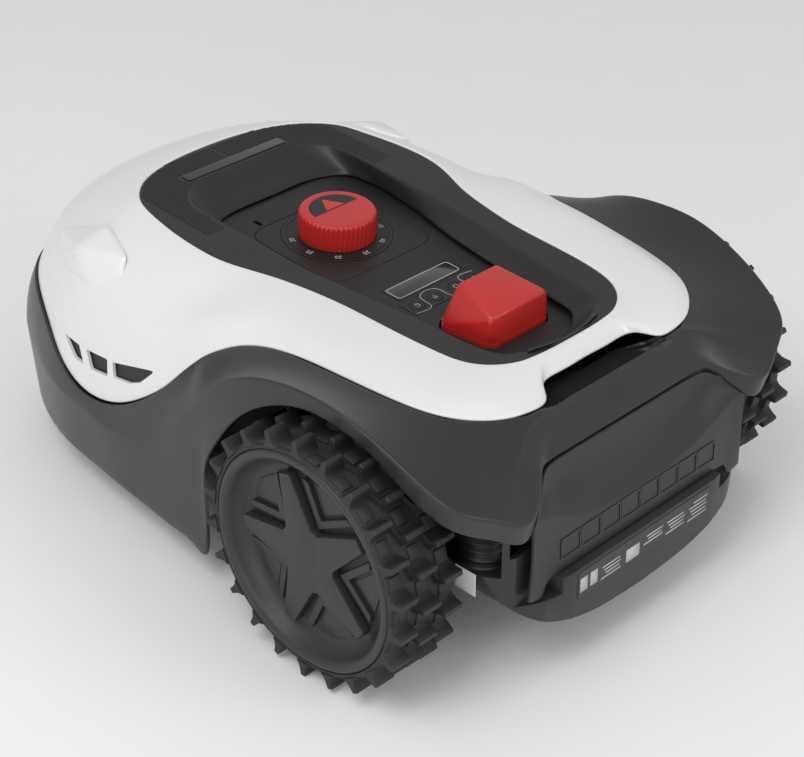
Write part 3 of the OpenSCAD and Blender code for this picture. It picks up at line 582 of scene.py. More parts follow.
# ------------------------------------------------------------------ station tables (mm, from the drive axle)
COVER = [
    [[350, 0, 231], [395, 0, 218], [432, 0, 190], [445, 0, 156]],
    [[347, 40, 231], [391, 48, 217], [427, 62, 189], [439, 72, 156]],
    [[336, 74, 231], [372, 92, 215], [402, 115, 187], [414, 128, 153]],
    [[320, 94, 231.5], [345, 120, 213], [372, 143, 182], [381, 155, 146]],
    [[300, 107, 232], [315, 138, 212], [338, 164, 176], [345, 173, 134]],
    [[278, 113, 231], [290, 147, 211], [308, 176, 172], [316, 184, 117]],
    [[255, 117, 230], [264, 152, 210], [276, 181, 169], [285, 188, 105]],
    [[232, 119.5, 229], [238, 154, 209], [245, 183, 168], [252, 189, 108]],
    [[212, 120, 228], [215, 153, 210], [217, 182, 172], [220, 190, 123]],
    [[192, 118, 226.5], [190, 150, 212], [186, 178, 184], [183, 190, 150]],
    [[172, 112, 225], [168, 144, 216], [160, 170, 202], [155, 187, 177]],
    [[150, 104, 223.5], [145, 135, 220], [135, 160, 213], [130, 176, 200]],
    [[120, 97, 222], [116, 127, 221], [108, 148, 216], [104, 162, 210]],
    [[85, 92, 220], [80, 122, 220], [74, 143, 217], [70, 154, 213]],
    [[42, 90, 218], [38, 117, 218], [34, 138, 215.5], [32, 149, 212]],
    [[0, 87, 216], [-4, 112, 215.5], [-9, 132, 213], [-11, 143, 209.5]],
    [[-26, 80, 214], [-38, 102, 213], [-48, 121, 210], [-52, 130, 206]],
    [[-42, 66, 213], [-58, 84, 211], [-70, 98, 207.5], [-76, 106, 203]],
    [[-50, 50, 212.5], [-63, 61, 210], [-76, 72, 206], [-85, 80, 202]],
    [[-51.5, 42, 212.4], [-63, 50, 210], [-74, 57, 206], [-83, 61.5, 201]],
    [[-52.5, 32, 212.3], [-58, 37, 211], [-64, 43, 208], [-70, 49, 203]],
    [[-53, 16, 212.1], [-57, 18, 211.3], [-62, 21, 208.8], [-67.5, 24, 204]],
    [[-53, 0, 212], [-57, 0, 211.3], [-62, 0, 209], [-67, 0, 204]]]
SIDE = [
    [[447, 0, 154], [455, 0, 130], [460, 0, 106], [455, 0, 32]],
    [[441, 73, 154], [449, 80, 129], [452, 85, 105], [449, 82, 32]],
    [[416, 130, 151], [423, 136, 127], [426, 140, 102], [424, 136, 32]],
    [[383, 157, 144], [390, 160, 123], [393, 162, 98], [392, 158, 31]],
    [[347, 175, 132], [354, 177, 112], [357, 178, 95], [357, 172, 31]],
    [[317, 186, 115], [321, 187, 104], [323, 188, 91], [322, 180, 30]],
    [[286, 190, 103], [288, 191, 95], [289, 191, 87], [286, 184, 30]],
    [[252, 191, 106], [253, 192, 95], [253, 193, 85], [250, 188, 30]],
    [[220, 192, 121], [219, 193, 105], [219, 194, 93], [212, 191, 30]],
    [[183, 192, 148], [184, 194, 124], [184, 195, 112], [178, 195, 31]],
    [[156.5, 189, 175], [159, 194, 152], [160, 197, 131], [146, 198, 31]],
    [[144, 184.5, 188], [143, 193, 170], [141, 198, 152], [127, 200, 34]],
    [[131, 178, 198.5], [127, 191, 189], [121, 199, 174], [124, 201, 95]],
    [[105, 164.5, 208.5], [101, 182, 205], [95, 199, 198], [108, 202, 140]],
    [[71, 156.5, 211.5], [66, 177, 212], [60, 198, 216], [76, 201, 180]],
    [[32, 151.5, 210.5], [26, 173, 214], [20, 196, 223], [35, 198, 205]],
    [[-11, 145.5, 208], [-15, 169, 211], [-20, 195, 221], [-8, 196, 211]],
    [[-33, 140.5, 206.5], [-41, 165, 207], [-52, 193, 211], [-45, 193, 201]],
    [[-53, 132, 204.5], [-65, 158, 201], [-80, 190, 198], [-74, 190, 183]],
    [[-66, 121, 203], [-83, 148, 195], [-103, 184, 185], [-97, 184, 168]],
    [[-77.5, 107, 201.5], [-94, 132, 190], [-118, 172, 175], [-112, 170, 157]],
    [[-82.5, 95, 201], [-99, 117, 188], [-127, 152, 165], [-122, 150, 147]]]
REAR = [
    [[-86.5, 85, 200], [-88.5, 86, 199.5], [-92, 90, 198], [-103, 103, 186], [-131, 125, 157], [-127, 123, 141]],
    [[-87.5, 76, 200], [-89, 77, 200], [-91, 79, 199.5], [-98, 88, 190], [-114, 99, 170], [-111, 98, 163]],
    [[-86, 66, 198], [-88.5, 66, 198.5], [-90.5, 67, 200], [-96.5, 73, 190], [-107, 87, 172], [-104, 86, 165]],
    [[-72, 58, 190], [-86, 58, 190], [-90, 59, 200], [-96, 62, 190], [-106, 71, 172], [-103, 71, 165]],
    [[-62, 48, 188], [-84, 48, 188], [-90, 48, 200], [-96, 48, 190], [-106, 54, 172], [-103, 54, 165]],
    [[-61, 24, 188], [-84, 24, 188], [-90, 24, 200], [-96, 24, 190], [-106, 27, 172], [-103, 27, 165]],
    [[-61, 0, 188], [-84, 0, 188], [-90, 0, 200], [-96, 0, 190], [-106, 0, 172], [-103, 0, 165]]]


def quad(a, b, c, t):
    return 2 * (t - 0.5) * (t - 1) * a - 4 * t * (t - 1) * b + 2 * t * (t - 0.5) * c


def section(rows, counts, blends, power=0.6):
    """rows (n,k,3): spline pieces between the corner columns in blends, corners rounded a little"""
    out = []
    for r in rows:
        pts = []
        last = 0
        for bi, b in enumerate(list(blends) + [(len(r) - 1, 0)]):
            col, rad = b
            seg = open_spline(r[last:col + 1], counts[bi], power) if col - last > 1 else np.linspace(r[last], r[col], counts[bi])
            pts.append(seg)
            last = col
        # round the corners between the pieces
        line = [pts[0]]
        for bi, (col, rad) in enumerate(blends):
            A, B = line[-1], pts[bi + 1]
            c = A[-1]
            u = A[-2] - c
            u = u / np.linalg.norm(u)
            v = B[1] - c
            v = v / np.linalg.norm(v)
            la = np.linalg.norm(A[-3] - c)
            lb = np.linalg.norm(B[2] - c)
            q = min(rad, la * 0.9, lb * 0.9)
            p0, p1 = c + u * q, c + v * q
            arc = [(1 - t) ** 2 * p0 + 2 * t * (1 - t) * c + t * t * p1 for t in np.linspace(0, 1, 5)]
            keepA = A[:-1][np.linalg.norm(A[:-1] - c, axis=1) > q * 1.15]
            keepB = B[1:][np.linalg.norm(B[1:] - c, axis=1) > q * 1.15]
            # the same count on every row
            kA = open_or_lin(keepA, p0, len(A) - 2)
            kB = lin_or_open(keepB, p1, len(B) - 2)
            line[-1] = np.concatenate([kA, arc])
            line.append(kB)
        out.append(np.concatenate(line))
    return np.array(out)


def resample(P, n):
    s = np.concatenate([[0], np.cumsum(np.linalg.norm(np.diff(P, axis=0), axis=1))])
    u = np.linspace(0, s[-1], n)
    return np.stack([np.interp(u, s, P[:, k]) for k in range(3)], 1)


def open_or_lin(keep, p0, n):
    return resample(np.concatenate([keep, [p0]]), n + 1)[:-1]


def lin_or_open(keep, p1, n):
    return resample(np.concatenate([[p1], keep]), n + 1)[1:]


# ------------------------------------------------------------------ light cover
RS = 8
cov = []
for r in np.array(COVER, float):
    cov.append([r[0], quad(r[0], r[1], r[2], 0.25), r[1], 0.5 * (r[1] + r[2]) + 0.09 * (r[1] + r[2] - r[0] - r[3]), r[2], r[3]])
cov = closed_spline(mirror_ring(cov), RS)
GC = section(cov, [34], [])
cover = skin("top_cover", GC, 2.6)
VENTS = [[(312, 141.5), (289, 141), (283, 126.5), (296, 127)], [(279, 141.5), (250.7, 144.8), (250.7, 130), (273, 126.5)],
         [(244, 145.2), (191.6, 159.1), (209.3, 142.3), (222.8, 136), (242.7, 132.4)]]
for s in (1, -1):
    for i, v in enumerate(VENTS):
        pol = round_poly(v, 1.5, 4)
        c = prism("cut", pol, lambda a, b: (a, s * 150, b), lambda a, b: (a, s * 215, b))
        boolean(cover, c)
piece(cover, "cover", "shell", "cover_white", "top_cover", ang=40)

# vent inserts: a dark skin a little behind the windows
NC = grid_normals(GC)
obs = []
for s in (1, -1):
    sel = []
    P3 = GC - 3.3 * NC
    n, m, _ = P3.shape
    ok = (P3[..., 0] > 178) & (P3[..., 0] < 322) & (P3[..., 2] > 118) & (P3[..., 2] < 170) & (s * P3[..., 1] > 100)
    F, used, V = [], {}, []
    for i in range(n):
        i2 = (i + 1) % n
        for j in range(m - 1):
            if ok[i, j] and ok[i2, j] and ok[i, j + 1] and ok[i2, j + 1]:
                f = []
                for a, b in ((i, j), (i2, j), (i2, j + 1), (i, j + 1)):
                    if (a, b) not in used:
                        used[(a, b)] = len(V)
                        V.append(P3[a, b])
                    f.append(used[(a, b)])
                F.append(f)
    ob = mesh("v", V, F)
    fix_normals(ob)
    md = ob.modifiers.new("s", "SOLIDIFY")
    md.thickness = 0.0012
    apply_mods(ob)
    obs.append(ob)
vents = join("vent_inserts", obs)
piece(vents, "trim", "shell", "black_trim", "vent_inserts")

# ------------------------------------------------------------------ dark outer shell
rows = []
for r in np.array(SIDE, float):
    rows.append([r[0], quad(r[0], r[1], r[2], 0.25), quad(r[0], r[1], r[2], 0.5), quad(r[0], r[1], r[2], 0.75), r[2], r[3]])
rows += [[np.array(p, float) for p in r] for r in REAR]
led = []
for r in rows:
    d = np.array([-9.0 if r[0][0] > 300 else (8.0 if r[0][0] < -60 else 0.0), 0.0 if r[0][0] > 420 else (-8.0 if r[0][1] > 20 else 0.0), -5.0])
    led.append([r[0] + d] + list(r))
led = closed_spline(mirror_ring(led), RS)
GS = section(led, [5, 22, 12], [(1, 1.2), (5, 2.4)], 0.6)
shell = skin("outer_shell", GS, 2.6)
piece(shell, "shell", "shell", "shell_dark", "outer_shell", ang=60)

# ------------------------------------------------------------------ dark deck round the tray
DECK = [
  [[348.6, 0, 224], [349, 0, 230.4], [303, 0, 230.4], [268, 0, 213.6]],
  [[345.6, 39.6, 224], [346, 39.7, 230.4], [301, 38, 230.4], [268, 36, 213.6]],
  [[334.6, 73.2, 224], [335, 73.5, 230.4], [296, 57, 230.3], [264, 57, 212.6]],
  [[319, 93, 224], [319.5, 93.3, 230.9], [284, 70, 230.2], [254, 71, 212]],
  [[299, 106, 224], [299.4, 106.3, 231.3], [270, 75.5, 229.6], [240, 74.6, 211.4]],
  [[277.6, 112, 223], [277.8, 112.3, 230.3], [250, 77, 228.6], [222, 76, 210.6]],
  [[254.8, 116, 222], [254.9, 116.3, 229.3], [232, 77, 227.4], [206, 75, 209.8]],
  [[232, 118.5, 221], [232, 118.8, 228.3], [214, 76.5, 226], [193, 73.4, 209.2]],
  [[212, 119, 220], [212, 119.3, 227.3], [197, 76, 225], [179, 71.8, 208.6]],
  [[191.8, 117, 219], [191.9, 117.3, 225.8], [178, 76, 223.6], [160, 68, 207.8]],
  [[171.6, 111, 218], [171.8, 111.3, 224.3], [160, 76, 222.4], [142, 64, 207]],
  [[149.8, 103, 216], [149.9, 103.3, 222.8], [140, 74.6, 220.8], [124, 60.6, 206.2]],
  [[119.8, 96, 214.6], [119.9, 96.3, 221.3], [112, 71.8, 219.4], [98, 56.8, 205]],
  [[84.8, 91, 212.8], [84.9, 91.3, 219.3], [80, 68, 217.6], [68, 53.4, 203.6]],
  [[41.8, 89, 210.8], [41.9, 89.3, 217.3], [38, 62.6, 215.4], [30, 50.6, 202.2]],
  [[0.4, 86.2, 208.8], [0.2, 86.4, 215.3], [0, 59.4, 213.6], [0, 47.6, 201]],
  [[-25.2, 79, 206.8], [-25.6, 79.4, 213.3], [-21, 57, 213], [-16, 44, 200.4]],
  [[-41, 65.2, 205.8], [-41.4, 65.6, 212.3], [-33, 51, 212], [-24, 36, 199.9]],
  [[-49, 49.6, 205.4], [-49.4, 49.8, 211.8], [-40, 40, 211.9], [-29, 28, 199.6]],
  [[-50.5, 41.8, 205.4], [-50.9, 41.9, 211.7], [-43, 33, 211.8], [-31.5, 22, 199.5]],
  [[-51.5, 32, 205.3], [-51.9, 32, 211.6], [-46, 25, 211.8], [-33, 17, 199.4]],
  [[-52, 16, 205.2], [-52.4, 16, 211.4], [-48.6, 13, 211.6], [-34.4, 9, 199.4]],
  [[-52, 0, 205.2], [-52.4, 0, 211.3], [-49.4, 0, 211.5], [-35, 0, 199.4]]]
NC_ = len(DECK)
dk = closed_spline(mirror_ring(np.array(DECK, float)), RS)
cen = np.stack([np.clip(dk[:, 1, 0], 60, 250), np.zeros(len(dk))], 1)
out2 = dk[:, 1, :2] - cen
out2 /= np.maximum(np.linalg.norm(out2, axis=1, keepdims=True), 1e-9)
dk[:, 0, :2] -= 0.5 * out2
dk[:, 1, :2] -= 0.5 * out2
GD = []
for r in dk:
    foot, edge, rim_, wf = r
    top = np.linspace(edge, rim_, 12)
    wall_ = np.linspace(rim_, wf, 9)
    wall_[1:-1, 2] -= np.sin(np.linspace(0, math.pi, 9))[1:-1] * 0.8
    u = (rim_ - edge) / np.linalg.norm(rim_ - edge)
    v = (wall_[1] - rim_) / np.linalg.norm(wall_[1] - rim_)
    q = min(2.2, np.linalg.norm(wf - rim_) * 0.2, np.linalg.norm(rim_ - edge) * 0.4)
    arc = [(1 - t) ** 2 * (rim_ - u * q) + 2 * t * (1 - t) * rim_ + t * t * (rim_ + v * q) for t in np.linspace(0, 1, 5)]
    u0 = (foot - edge) / np.linalg.norm(foot - edge)
    arc0 = [(1 - t) ** 2 * (edge + u0 * 1.1) + 2 * t * (1 - t) * edge + t * t * (edge + u * 1.1) for t in np.linspace(0, 1, 4)]
    GD.append(np.concatenate([[foot], arc0, top[1:-1], arc, wall_[2:]]))
GD = np.array(GD)[:, ::-1]
ND = grid_normals(GD)
deck = skin("deck_frame", GD, 2.0, 4)
# fine ribs across the nose end of the deck
top_bvh = BVHTree.FromObject(deck, bpy.context.evaluated_depsgraph_get())
ribs = []
for x in np.arange(231, 344, 3.1):
    for s in (1, -1):
        run = []
        for y in np.arange(0, 112, 1.5):
            p = W([x, s * y, 260])
            hit, nor, idx, dist = top_bvh.ray_cast(Vector(p), Vector((0, 0, -1)))
            ok = hit is not None and nor.z > 0.965 and hit.z > 0.2255
            if ok and not (304.5 < x < 318.5 and y < 53.5) and y < 101:
                run.append((x, s * y, hit.z * 1000))
            elif run:
                if len(run) > 4:
                    ribs.append(run)
                run = []
        if len(run) > 4:
            ribs.append(run)
V, F = [], []
for run in ribs:
    R = np.array(run[1:-1])
    if len(R) < 3:
        continue
    b = len(V)
    n = len(R)
    for (x, y, z) in R:
        V += [(x - 0.75, y, z - 0.4), (x - 0.4, y, z + 0.6), (x + 0.4, y, z + 0.6), (x + 0.75, y, z - 0.4)]
    for i in range(n - 1):
        for k in range(4):
            k2 = (k + 1) % 4
            F.append((b + i * 4 + k, b + (i + 1) * 4 + k, b + (i + 1) * 4 + k2, b + i * 4 + k2))
    F.append((b, b + 1, b + 2, b + 3))
    e = b + (n - 1) * 4
    F.append((e + 3, e + 2, e + 1, e))
rib = mesh("deck_ribs", V, F, False)
fix_normals(rib)
piece(deck, "deck", "shell", "deck_dark", "deck_frame", ang=50)
piece(rib, "deck", "shell", "deck_dark", sh=False)

bad = prism("badge_strip", round_poly([(306, -52), (317, -52), (317, 52), (306, 52)], 0.8, 3), lambda a, b: (a, b, 230.4), lambda a, b: (a, b, 231.25))
bevel(bad, 0.2, 2)
piece(bad, "badge", "shell", "badge_grey", "badge_strip")

# ------------------------------------------------------------------ nose covers and the rear skin
BUMP = [(366, 140.5, 201), (304, 136.5, 223.6), (260.5, 151.6, 217), (307, 167, 213), (346, 154.5, 184.5), (324, 165, 183.5),
        (283, 173, 185.5), (256.5, 161.5, 201.5), (330, 127, 198), (290, 133, 205), (275, 149, 194)]
for nm, s in (("sensor_cover_left", 1), ("sensor_cover_right", -1)):
    bm = bmesh.new()
    vs = [bm.verts.new(tuple(W((x, s * y, z)))) for x, y, z in BUMP]
    res = bmesh.ops.convex_hull(bm, input=vs)
    bmesh.ops.delete(bm, geom=[g for g in res["geom_interior"] if isinstance(g, bmesh.types.BMVert)], context="VERTS")
    bmesh.ops.dissolve_limit(bm, angle_limit=math.radians(9), verts=bm.verts, edges=bm.edges)
    bmesh.ops.recalc_face_normals(bm, faces=bm.faces)
    me = bpy.data.meshes.new(nm)
    bm.to_mesh(me)
    bm.free()
    o = link(me, nm + "_skin")
    # the moulded edges are soft: fill with an even mesh, then relax it
    md = o.modifiers.new("vox", "REMESH")
    md.mode = "VOXEL"
    md.voxel_size = 0.0014
    md = o.modifiers.new("relax", "SMOOTH")
    md.factor = 0.5
    md.iterations = 60
    apply_mods(o)
    piece(o, "cover", "shell", "cover_white", nm, ang=60)

FASCIA = [
  [[-107.5, 0, 170], [-110, 0, 152], [-115.5, 0, 134], [-123, 0, 117], [-124, 0, 103], [-124.5, 0, 89]],
  [[-107.5, 30, 170], [-110, 30, 152], [-115.5, 30, 135], [-123, 30, 119], [-124, 30, 104], [-124.5, 30, 89]],
  [[-107.5, 60, 170], [-110.4, 61, 153], [-116.4, 62, 139], [-123, 62, 125], [-124, 62, 106], [-124.5, 62, 89]],
  [[-107.8, 80, 169.6], [-111.6, 84, 155], [-118, 86, 144], [-123, 88, 136], [-124, 90, 110], [-124.5, 92, 89]],
  [[-108.8, 88, 168.4], [-113.4, 94, 157], [-119.6, 98, 148], [-123.4, 100, 141], [-124, 101, 112], [-124.5, 102, 86]],
  [[-111.4, 94, 165.4], [-115.6, 100, 157], [-121, 107, 149], [-124, 110, 144], [-124.6, 109, 112], [-124.8, 107, 78]],
  [[-115, 98.5, 161], [-118.6, 104, 155], [-123, 112, 148], [-125.4, 118, 143], [-125.6, 118, 112], [-125, 120, 80]]]
fr = np.array(FASCIA, float)
mm_ = fr[:0:-1].copy()
mm_[..., 1] *= -1
fr = np.concatenate([mm_, fr])
across = open_spline(fr, 97, 0.8)
GF = section(across, [24, 18], [(3, 1.6)], 0.8)
NF = grid_normals(GF, False)
if NF[len(NF) // 2, 20, 0] > 0:
    NF = -NF
n, m, _ = GF.shape
Hh = GF - 2.4 * NF
V = list(GF.reshape(-1, 3)) + list(Hh.reshape(-1, 3))
o2 = n * m
F = []
for i in range(n - 1):
    for j in range(m - 1):
        a = i * m + j
        F.append((a, a + m, a + m + 1, a + 1))
        F.append((o2 + a, o2 + a + 1, o2 + a + m + 1, o2 + a + m))
for j in range(m - 1):
    for i in (0, n - 1):
        a = i * m + j
        F.append((a, a + 1, o2 + a + 1, o2 + a))
for i in range(n - 1):
    for j in (0, m - 1):
        a = i * m + j
        F.append((a, a + m, o2 + a + m, o2 + a))
fas = mesh("rear_fascia", V, F)
fix_normals(fas)
bevel(fas, 0.5, 2, 50)
piece(fas, "chassis", "shell", "chassis_dark", "rear_fascia", ang=40)
fb = BVHTree.FromObject(fas, bpy.context.evaluated_depsgraph_get())


def on_fascia(y, z, lift):
    hit, nor, i, d = fb.ray_cast(Vector(W([-160, y, z])), Vector((1, 0, 0)))
    x = hit.x * 1000 - AX if hit is not None else -124.0
    return (x - lift, y, z)


obs = []
for k in range(8):
    yc = -77 + k * 22.0
    pol = round_poly([(yc - 10.0, 99.5), (yc + 10.0, 99.5), (yc + 10.0, 115.5), (yc - 10.0, 115.5)], 0.9, 3)
    if abs(yc) < 90:
        obs.append(frame_ring("f", pol, 1.3, lambda a, b: on_fascia(a, b, -0.3), lambda a, b: on_fascia(a, b, 0.75)))
emb = join("fascia_frames", obs)
piece(emb, "chassis", "shell", "chassis_dark")

# ------------------------------------------------------------------ chassis tub and lid
def from_cad(nm, m_, body, slot_, bev=0.0, ang=35, seg=2):
    o = bpy.data.objects.new(nm + "_look", NODES[nm].data.copy())
    bpy.context.scene.collection.objects.link(o)
    bm = bmesh.new()
    bm.from_mesh(o.data)
    bmesh.ops.remove_doubles(bm, verts=bm.verts, dist=2e-6)
    bmesh.ops.dissolve_limit(bm, angle_limit=math.radians(2), verts=bm.verts, edges=bm.edges)
    bm.to_mesh(o.data)
    bm.free()
    if bev:
        bevel(o, bev, seg, 32)
    return piece(o, m_, body, slot_, nm, ang=ang)


from_cad("chassis_tub", "chassis", "chassis", "chassis_dark", 0.9)
from_cad("battery_door", "chassis", "chassis", "chassis_dark", 0.6)

# ------------------------------------------------------------------ control panel
PANEL = [[-43, 18], [-36, 34], [-20, 52], [20, 58], [76, 63], [138, 72], [181, 81], [222, 85], [260, 80], [276, 56], [277, 30]]


def both(P):
    return [tuple(p) for p in P] + [(p[0], -p[1]) for p in P[::-1]]


pan = prism("control_panel", round_poly(both(PANEL), 5, 4), lambda a, b: onp(a, b, -3.0), lambda a, b: onp(a, b, 0.0))


def cut_prism(target, pol, lo, hi):
    c = prism("cut", pol, lambda a, b: onp(a, b, lo), lambda a, b: onp(a, b, hi))
    boolean(target, c)


def circle(cx, cy, r, n=96):
    return [(cx + r * math.cos(2 * math.pi * i / n), cy + r * math.sin(2 * math.pi * i / n)) for i in range(n)]


KEYS = [(72, 29.5), (72, 11), (72, -12), (72, -30)]
STOP_HOLE = [[46.2, 32.4], [39.6, 39.8], [-0.4, 34.8], [-7.2, 27.6]]
cut_prism(pan, round_poly(both(STOP_HOLE), 3, 4), -4, 2)
cut_prism(pan, circle(190, 0, 44.4, 128), -0.8, 2)
cut_prism(pan, circle(190, 0, 9), -5, 2)
cut_prism(pan, [(85.6, -35), (104.4, -35), (104.4, 35), (85.6, 35)], -1.6, 2)
cut_prism(pan, [(62.6, -40), (81.6, -40), (81.6, 40), (62.6, 40)], -0.8, 2)
for k in KEYS:
    cut_prism(pan, circle(k[0], k[1], 6.4, 40), -5, 2)
cut_prism(pan, round_poly([(239, 34), (248, 34), (248, 37.4), (239, 37.4)], 1.5, 4), -4, 2)
# the seam round the knob, cut as a shallow groove
seam = round_poly([(133, -55), (236, -55), (236, 55), (133, 55)], 20, 10)
g = frame_ring("cut", seam, 0.8, lambda a, b: onp(a, b, -0.7), lambda a, b: onp(a, b, 1.0))
boolean(pan, g)
bevel(pan, 0.25, 1, 40)
piece(pan, "panel", "chassis", "panel_dark", "control_panel", ang=35)

sr = prism("scale_ring", circle(190, 0, 44, 160), lambda a, b: onp(a, b, -0.8), lambda a, b: onp(a, b, 0.2))
cut_prism(sr, circle(190, 0, 26, 96), -2, 2)
g = frame_ring("cut", circle(190, 0, 40.6, 160), 0.7, lambda a, b: onp(a, b, -0.15), lambda a, b: onp(a, b, 1.0))
boolean(sr, g)
piece(sr, "panel", "chassis", "panel_dark", "scale_ring", ang=35)

# numbers on the dial and the plain key symbols, drawn as strokes
DIG = {"0": [[(0.5, 1), (0.15, 0.85), (0, 0.5), (0.15, 0.15), (0.5, 0), (0.85, 0.15), (1, 0.5), (0.85, 0.85), (0.5, 1)]],
       "2": [[(0.02, 0.75), (0.2, 0.96), (0.55, 1), (0.92, 0.85), (0.9, 0.6), (0.5, 0.3), (0.02, 0.0), (1, 0)]],
       "3": [[(0.02, 0.95), (0.5, 1), (0.9, 0.8), (0.8, 0.58), (0.4, 0.52), (0.85, 0.44), (0.95, 0.2), (0.5, 0), (0.02, 0.08)]],
       "4": [[(0.75, 0), (0.75, 1), (0, 0.3), (1, 0.3)]],
       "5": [[(0.95, 1), (0.15, 1), (0.08, 0.56), (0.55, 0.6), (0.95, 0.38), (0.85, 0.1), (0.4, 0), (0.02, 0.1)]],
       "6": [[(0.85, 0.95), (0.4, 0.98), (0.06, 0.6), (0.05, 0.25), (0.4, 0), (0.85, 0.1), (0.95, 0.35), (0.6, 0.56), (0.08, 0.38)]]}


def strokes(lines, w, put, lo, hi):
    out = []
    for ln in lines:
        out.append(band("s", ln, w, lambda a, b: put(a, b, lo), lambda a, b: put(a, b, hi)))
    return out


obs = []
for i, num in enumerate(["20", "25", "30", "35", "40", "45", "50", "55", "60"]):
    ang = math.radians(65 + i * 36.5)
    for j, ch in enumerate(num):
        def put(a, b, h, ang=ang, j=j):
            u = (j - 1) * 3.0 + 0.4 + a * 2.2
            r = 38.9 - b * 3.7
            # the figures stand outward and read from the rear
            cx, cy = 190 + r * math.cos(ang), r * math.sin(ang)
            return onp(cx + u * math.sin(ang), cy - u * math.cos(ang), h)
        for ln in DIG[ch]:
            obs += strokes([[(p[0], 1 - p[1]) for p in ln]], 0.2, put, 0.12, 0.28)
num = join("scale_numbers", obs)
piece(num, "print", "chassis", "label_grey", sh=False)

dis = prism("display_window", round_poly([(86, -34.5), (104, -34.5), (104, 34.5), (86, 34.5)], 1.2, 4), lambda a, b: onp(a, b, -1.6), lambda a, b: onp(a, b, 0.2))
bevel(dis, 0.15, 2)
piece(dis, "gloss", "chassis", "display_gloss", "display_window")
ovl = prism("keypad_overlay", round_poly([(63, -39.6), (81.2, -39.6), (81.2, 39.6), (63, 39.6)], 1.2, 4), lambda a, b: onp(a, b, -0.8), lambda a, b: onp(a, b, 0.2))
for k in KEYS:
    cut_prism(ovl, circle(k[0], k[1], 6.4, 40), -5, 2)
piece(ovl, "panel", "chassis", "panel_dark", "keypad_overlay")
obs = [frame_ring("d", round_poly([(87.4, -33), (102.6, -33), (102.6, 33), (87.4, 33)], 3.2, 6), 0.7, lambda a, b: onp(a, b, 0.18), lambda a, b: onp(a, b, 0.3))]
wave = smooth_line([(64.2, 38), (64.6, 22), (79.6, 19), (79.8, 2), (64.4, -1), (64.3, -20), (79.4, -22), (79.8, -38)], 90)
obs.append(band("d", wave, 0.5, lambda a, b: onp(a, b, 0.16), lambda a, b: onp(a, b, 0.3)))
lines = join("panel_lines", obs)
piece(lines, "print", "chassis", "label_grey", sh=False)

SYM = {"key_power": [[(1.9 * math.sin(t), -1.9 * math.cos(t)) for t in np.linspace(0.6 + math.pi, 3 * math.pi - 0.6, 22)], [(2.6, 0), (0.2, 0)]],
       "key_start": [[(-1.6, 1.7), (2.2, 0), (-1.6, -1.7), (-1.6, 1.7)]],
       "key_home": [[(0.1, 2.4), (2.4, 0), (0.1, -2.4)], [(0.4, 1.7), (-2, 1.7), (-2, -1.7), (0.4, -1.7)]],
       "key_ok": [[(-0.1, 2), (-1.7, 0.6), (1.8, -2.2)]]}
for (nm, sy), kc in zip(SYM.items(), KEYS):
    kb = revolve(nm, [(0.001, -2.6), (6, -2.6), (6, 0.15), (5.85, 0.38), (5.5, 0.5), (2.5, 0.44), (0.001, 0.42)], "z", 48)
    for v in kb.data.vertices:
        a, b, h = v.co.x * 1000 - AX, v.co.y * 1000, v.co.z * 1000
        v.co = Vector(W(onp(kc[0] + a, kc[1] + b, h)))
    piece(kb, "panel", nm, "key_dark", nm, ang=40)
    put = lambda a, b, h, kc=kc: onp(kc[0] + a, kc[1] + b, h)
    o = join(nm + "_symbol", strokes(sy, 0.5, put, 0.4, 0.56))
    piece(o, "print", nm, "label_grey", sh=False)

# ------------------------------------------------------------------ height knob
V, F = [], []
NK = 48
per = 8
prof = [(30.6, 0.0), (31.0, 0.6), (31.2, 17.5), (30.9, 19.4), (30.1, 20.9), (28.6, 21.9), (26.6, 22.05), (25.7, 22.05), (25.5, 22.05), (0.001, 22.05)]
dep = [0.5, 0.9, 1.0, 0.85, 0.4, 0.0, 0.0, 0.0, 0.0, 0.0]
under = [(25.0, 0.0), (25.0, 7.0), (0.001, 7.0)]
seg = NK * per
rows_ = []
for (r, h), d in zip(prof, dep):
    row = []
    for i in range(seg):
        a = 2 * math.pi * i / seg
        w = 0.5 - 0.5 * math.cos(2 * math.pi * (i % per) / per)
        rr = r - d * 1.25 * w ** 1.3
        row.append((rr * math.cos(a), rr * math.sin(a), h))
    rows_.append(row)
for r, h in under:
    rows_.insert(0, [(r * math.cos(2 * math.pi * i / seg), r * math.sin(2 * math.pi * i / seg), h) for i in range(seg)])
rows_ = np.array(rows_)
for k in range(len(rows_)):
    for i in range(seg):
        V.append(onp(190 + rows_[k, i, 0], rows_[k, i, 1], 0.5 + rows_[k, i, 2]))
for k in range(len(rows_) - 1):
    for i in range(seg):
        j = (i + 1) % seg
        F.append((k * seg + i, k * seg + j, (k + 1) * seg + j, (k + 1) * seg + i))
kn = mesh("height_knob", V, F)
bm = bmesh.new()
bm.from_mesh(kn.data)
bmesh.ops.remove_doubles(bm, verts=bm.verts, dist=2e-6)
bmesh.ops.holes_fill(bm, edges=bm.edges, sides=0)
bmesh.ops.recalc_face_normals(bm, faces=bm.faces)
bm.to_mesh(kn.data)
bm.free()
piece(kn, "red", "knob", "signal_red", "height_knob", ang=42)
half = [(190 + 22.6 * math.cos(t), 22.6 * math.sin(t)) for t in np.linspace(-1.5, 1.5, 60)]
kp = prism("knob_pointer", half, lambda a, b: onp(a, b, 21.8), lambda a, b: onp(a, b, 22.85))
bevel(kp, 0.15, 1)
piece(kp, "trim", "knob", "black_trim", "knob_pointer")
tri = prism("knob_mark", round_poly([(192.2, 9.4), (192.2, -9.4), (208.5, 0)], 0.8, 3), lambda a, b: onp(a, b, 22.2), lambda a, b: onp(a, b, 23.05))
bevel(tri, 0.12, 1)
piece(tri, "red", "knob", "signal_red")

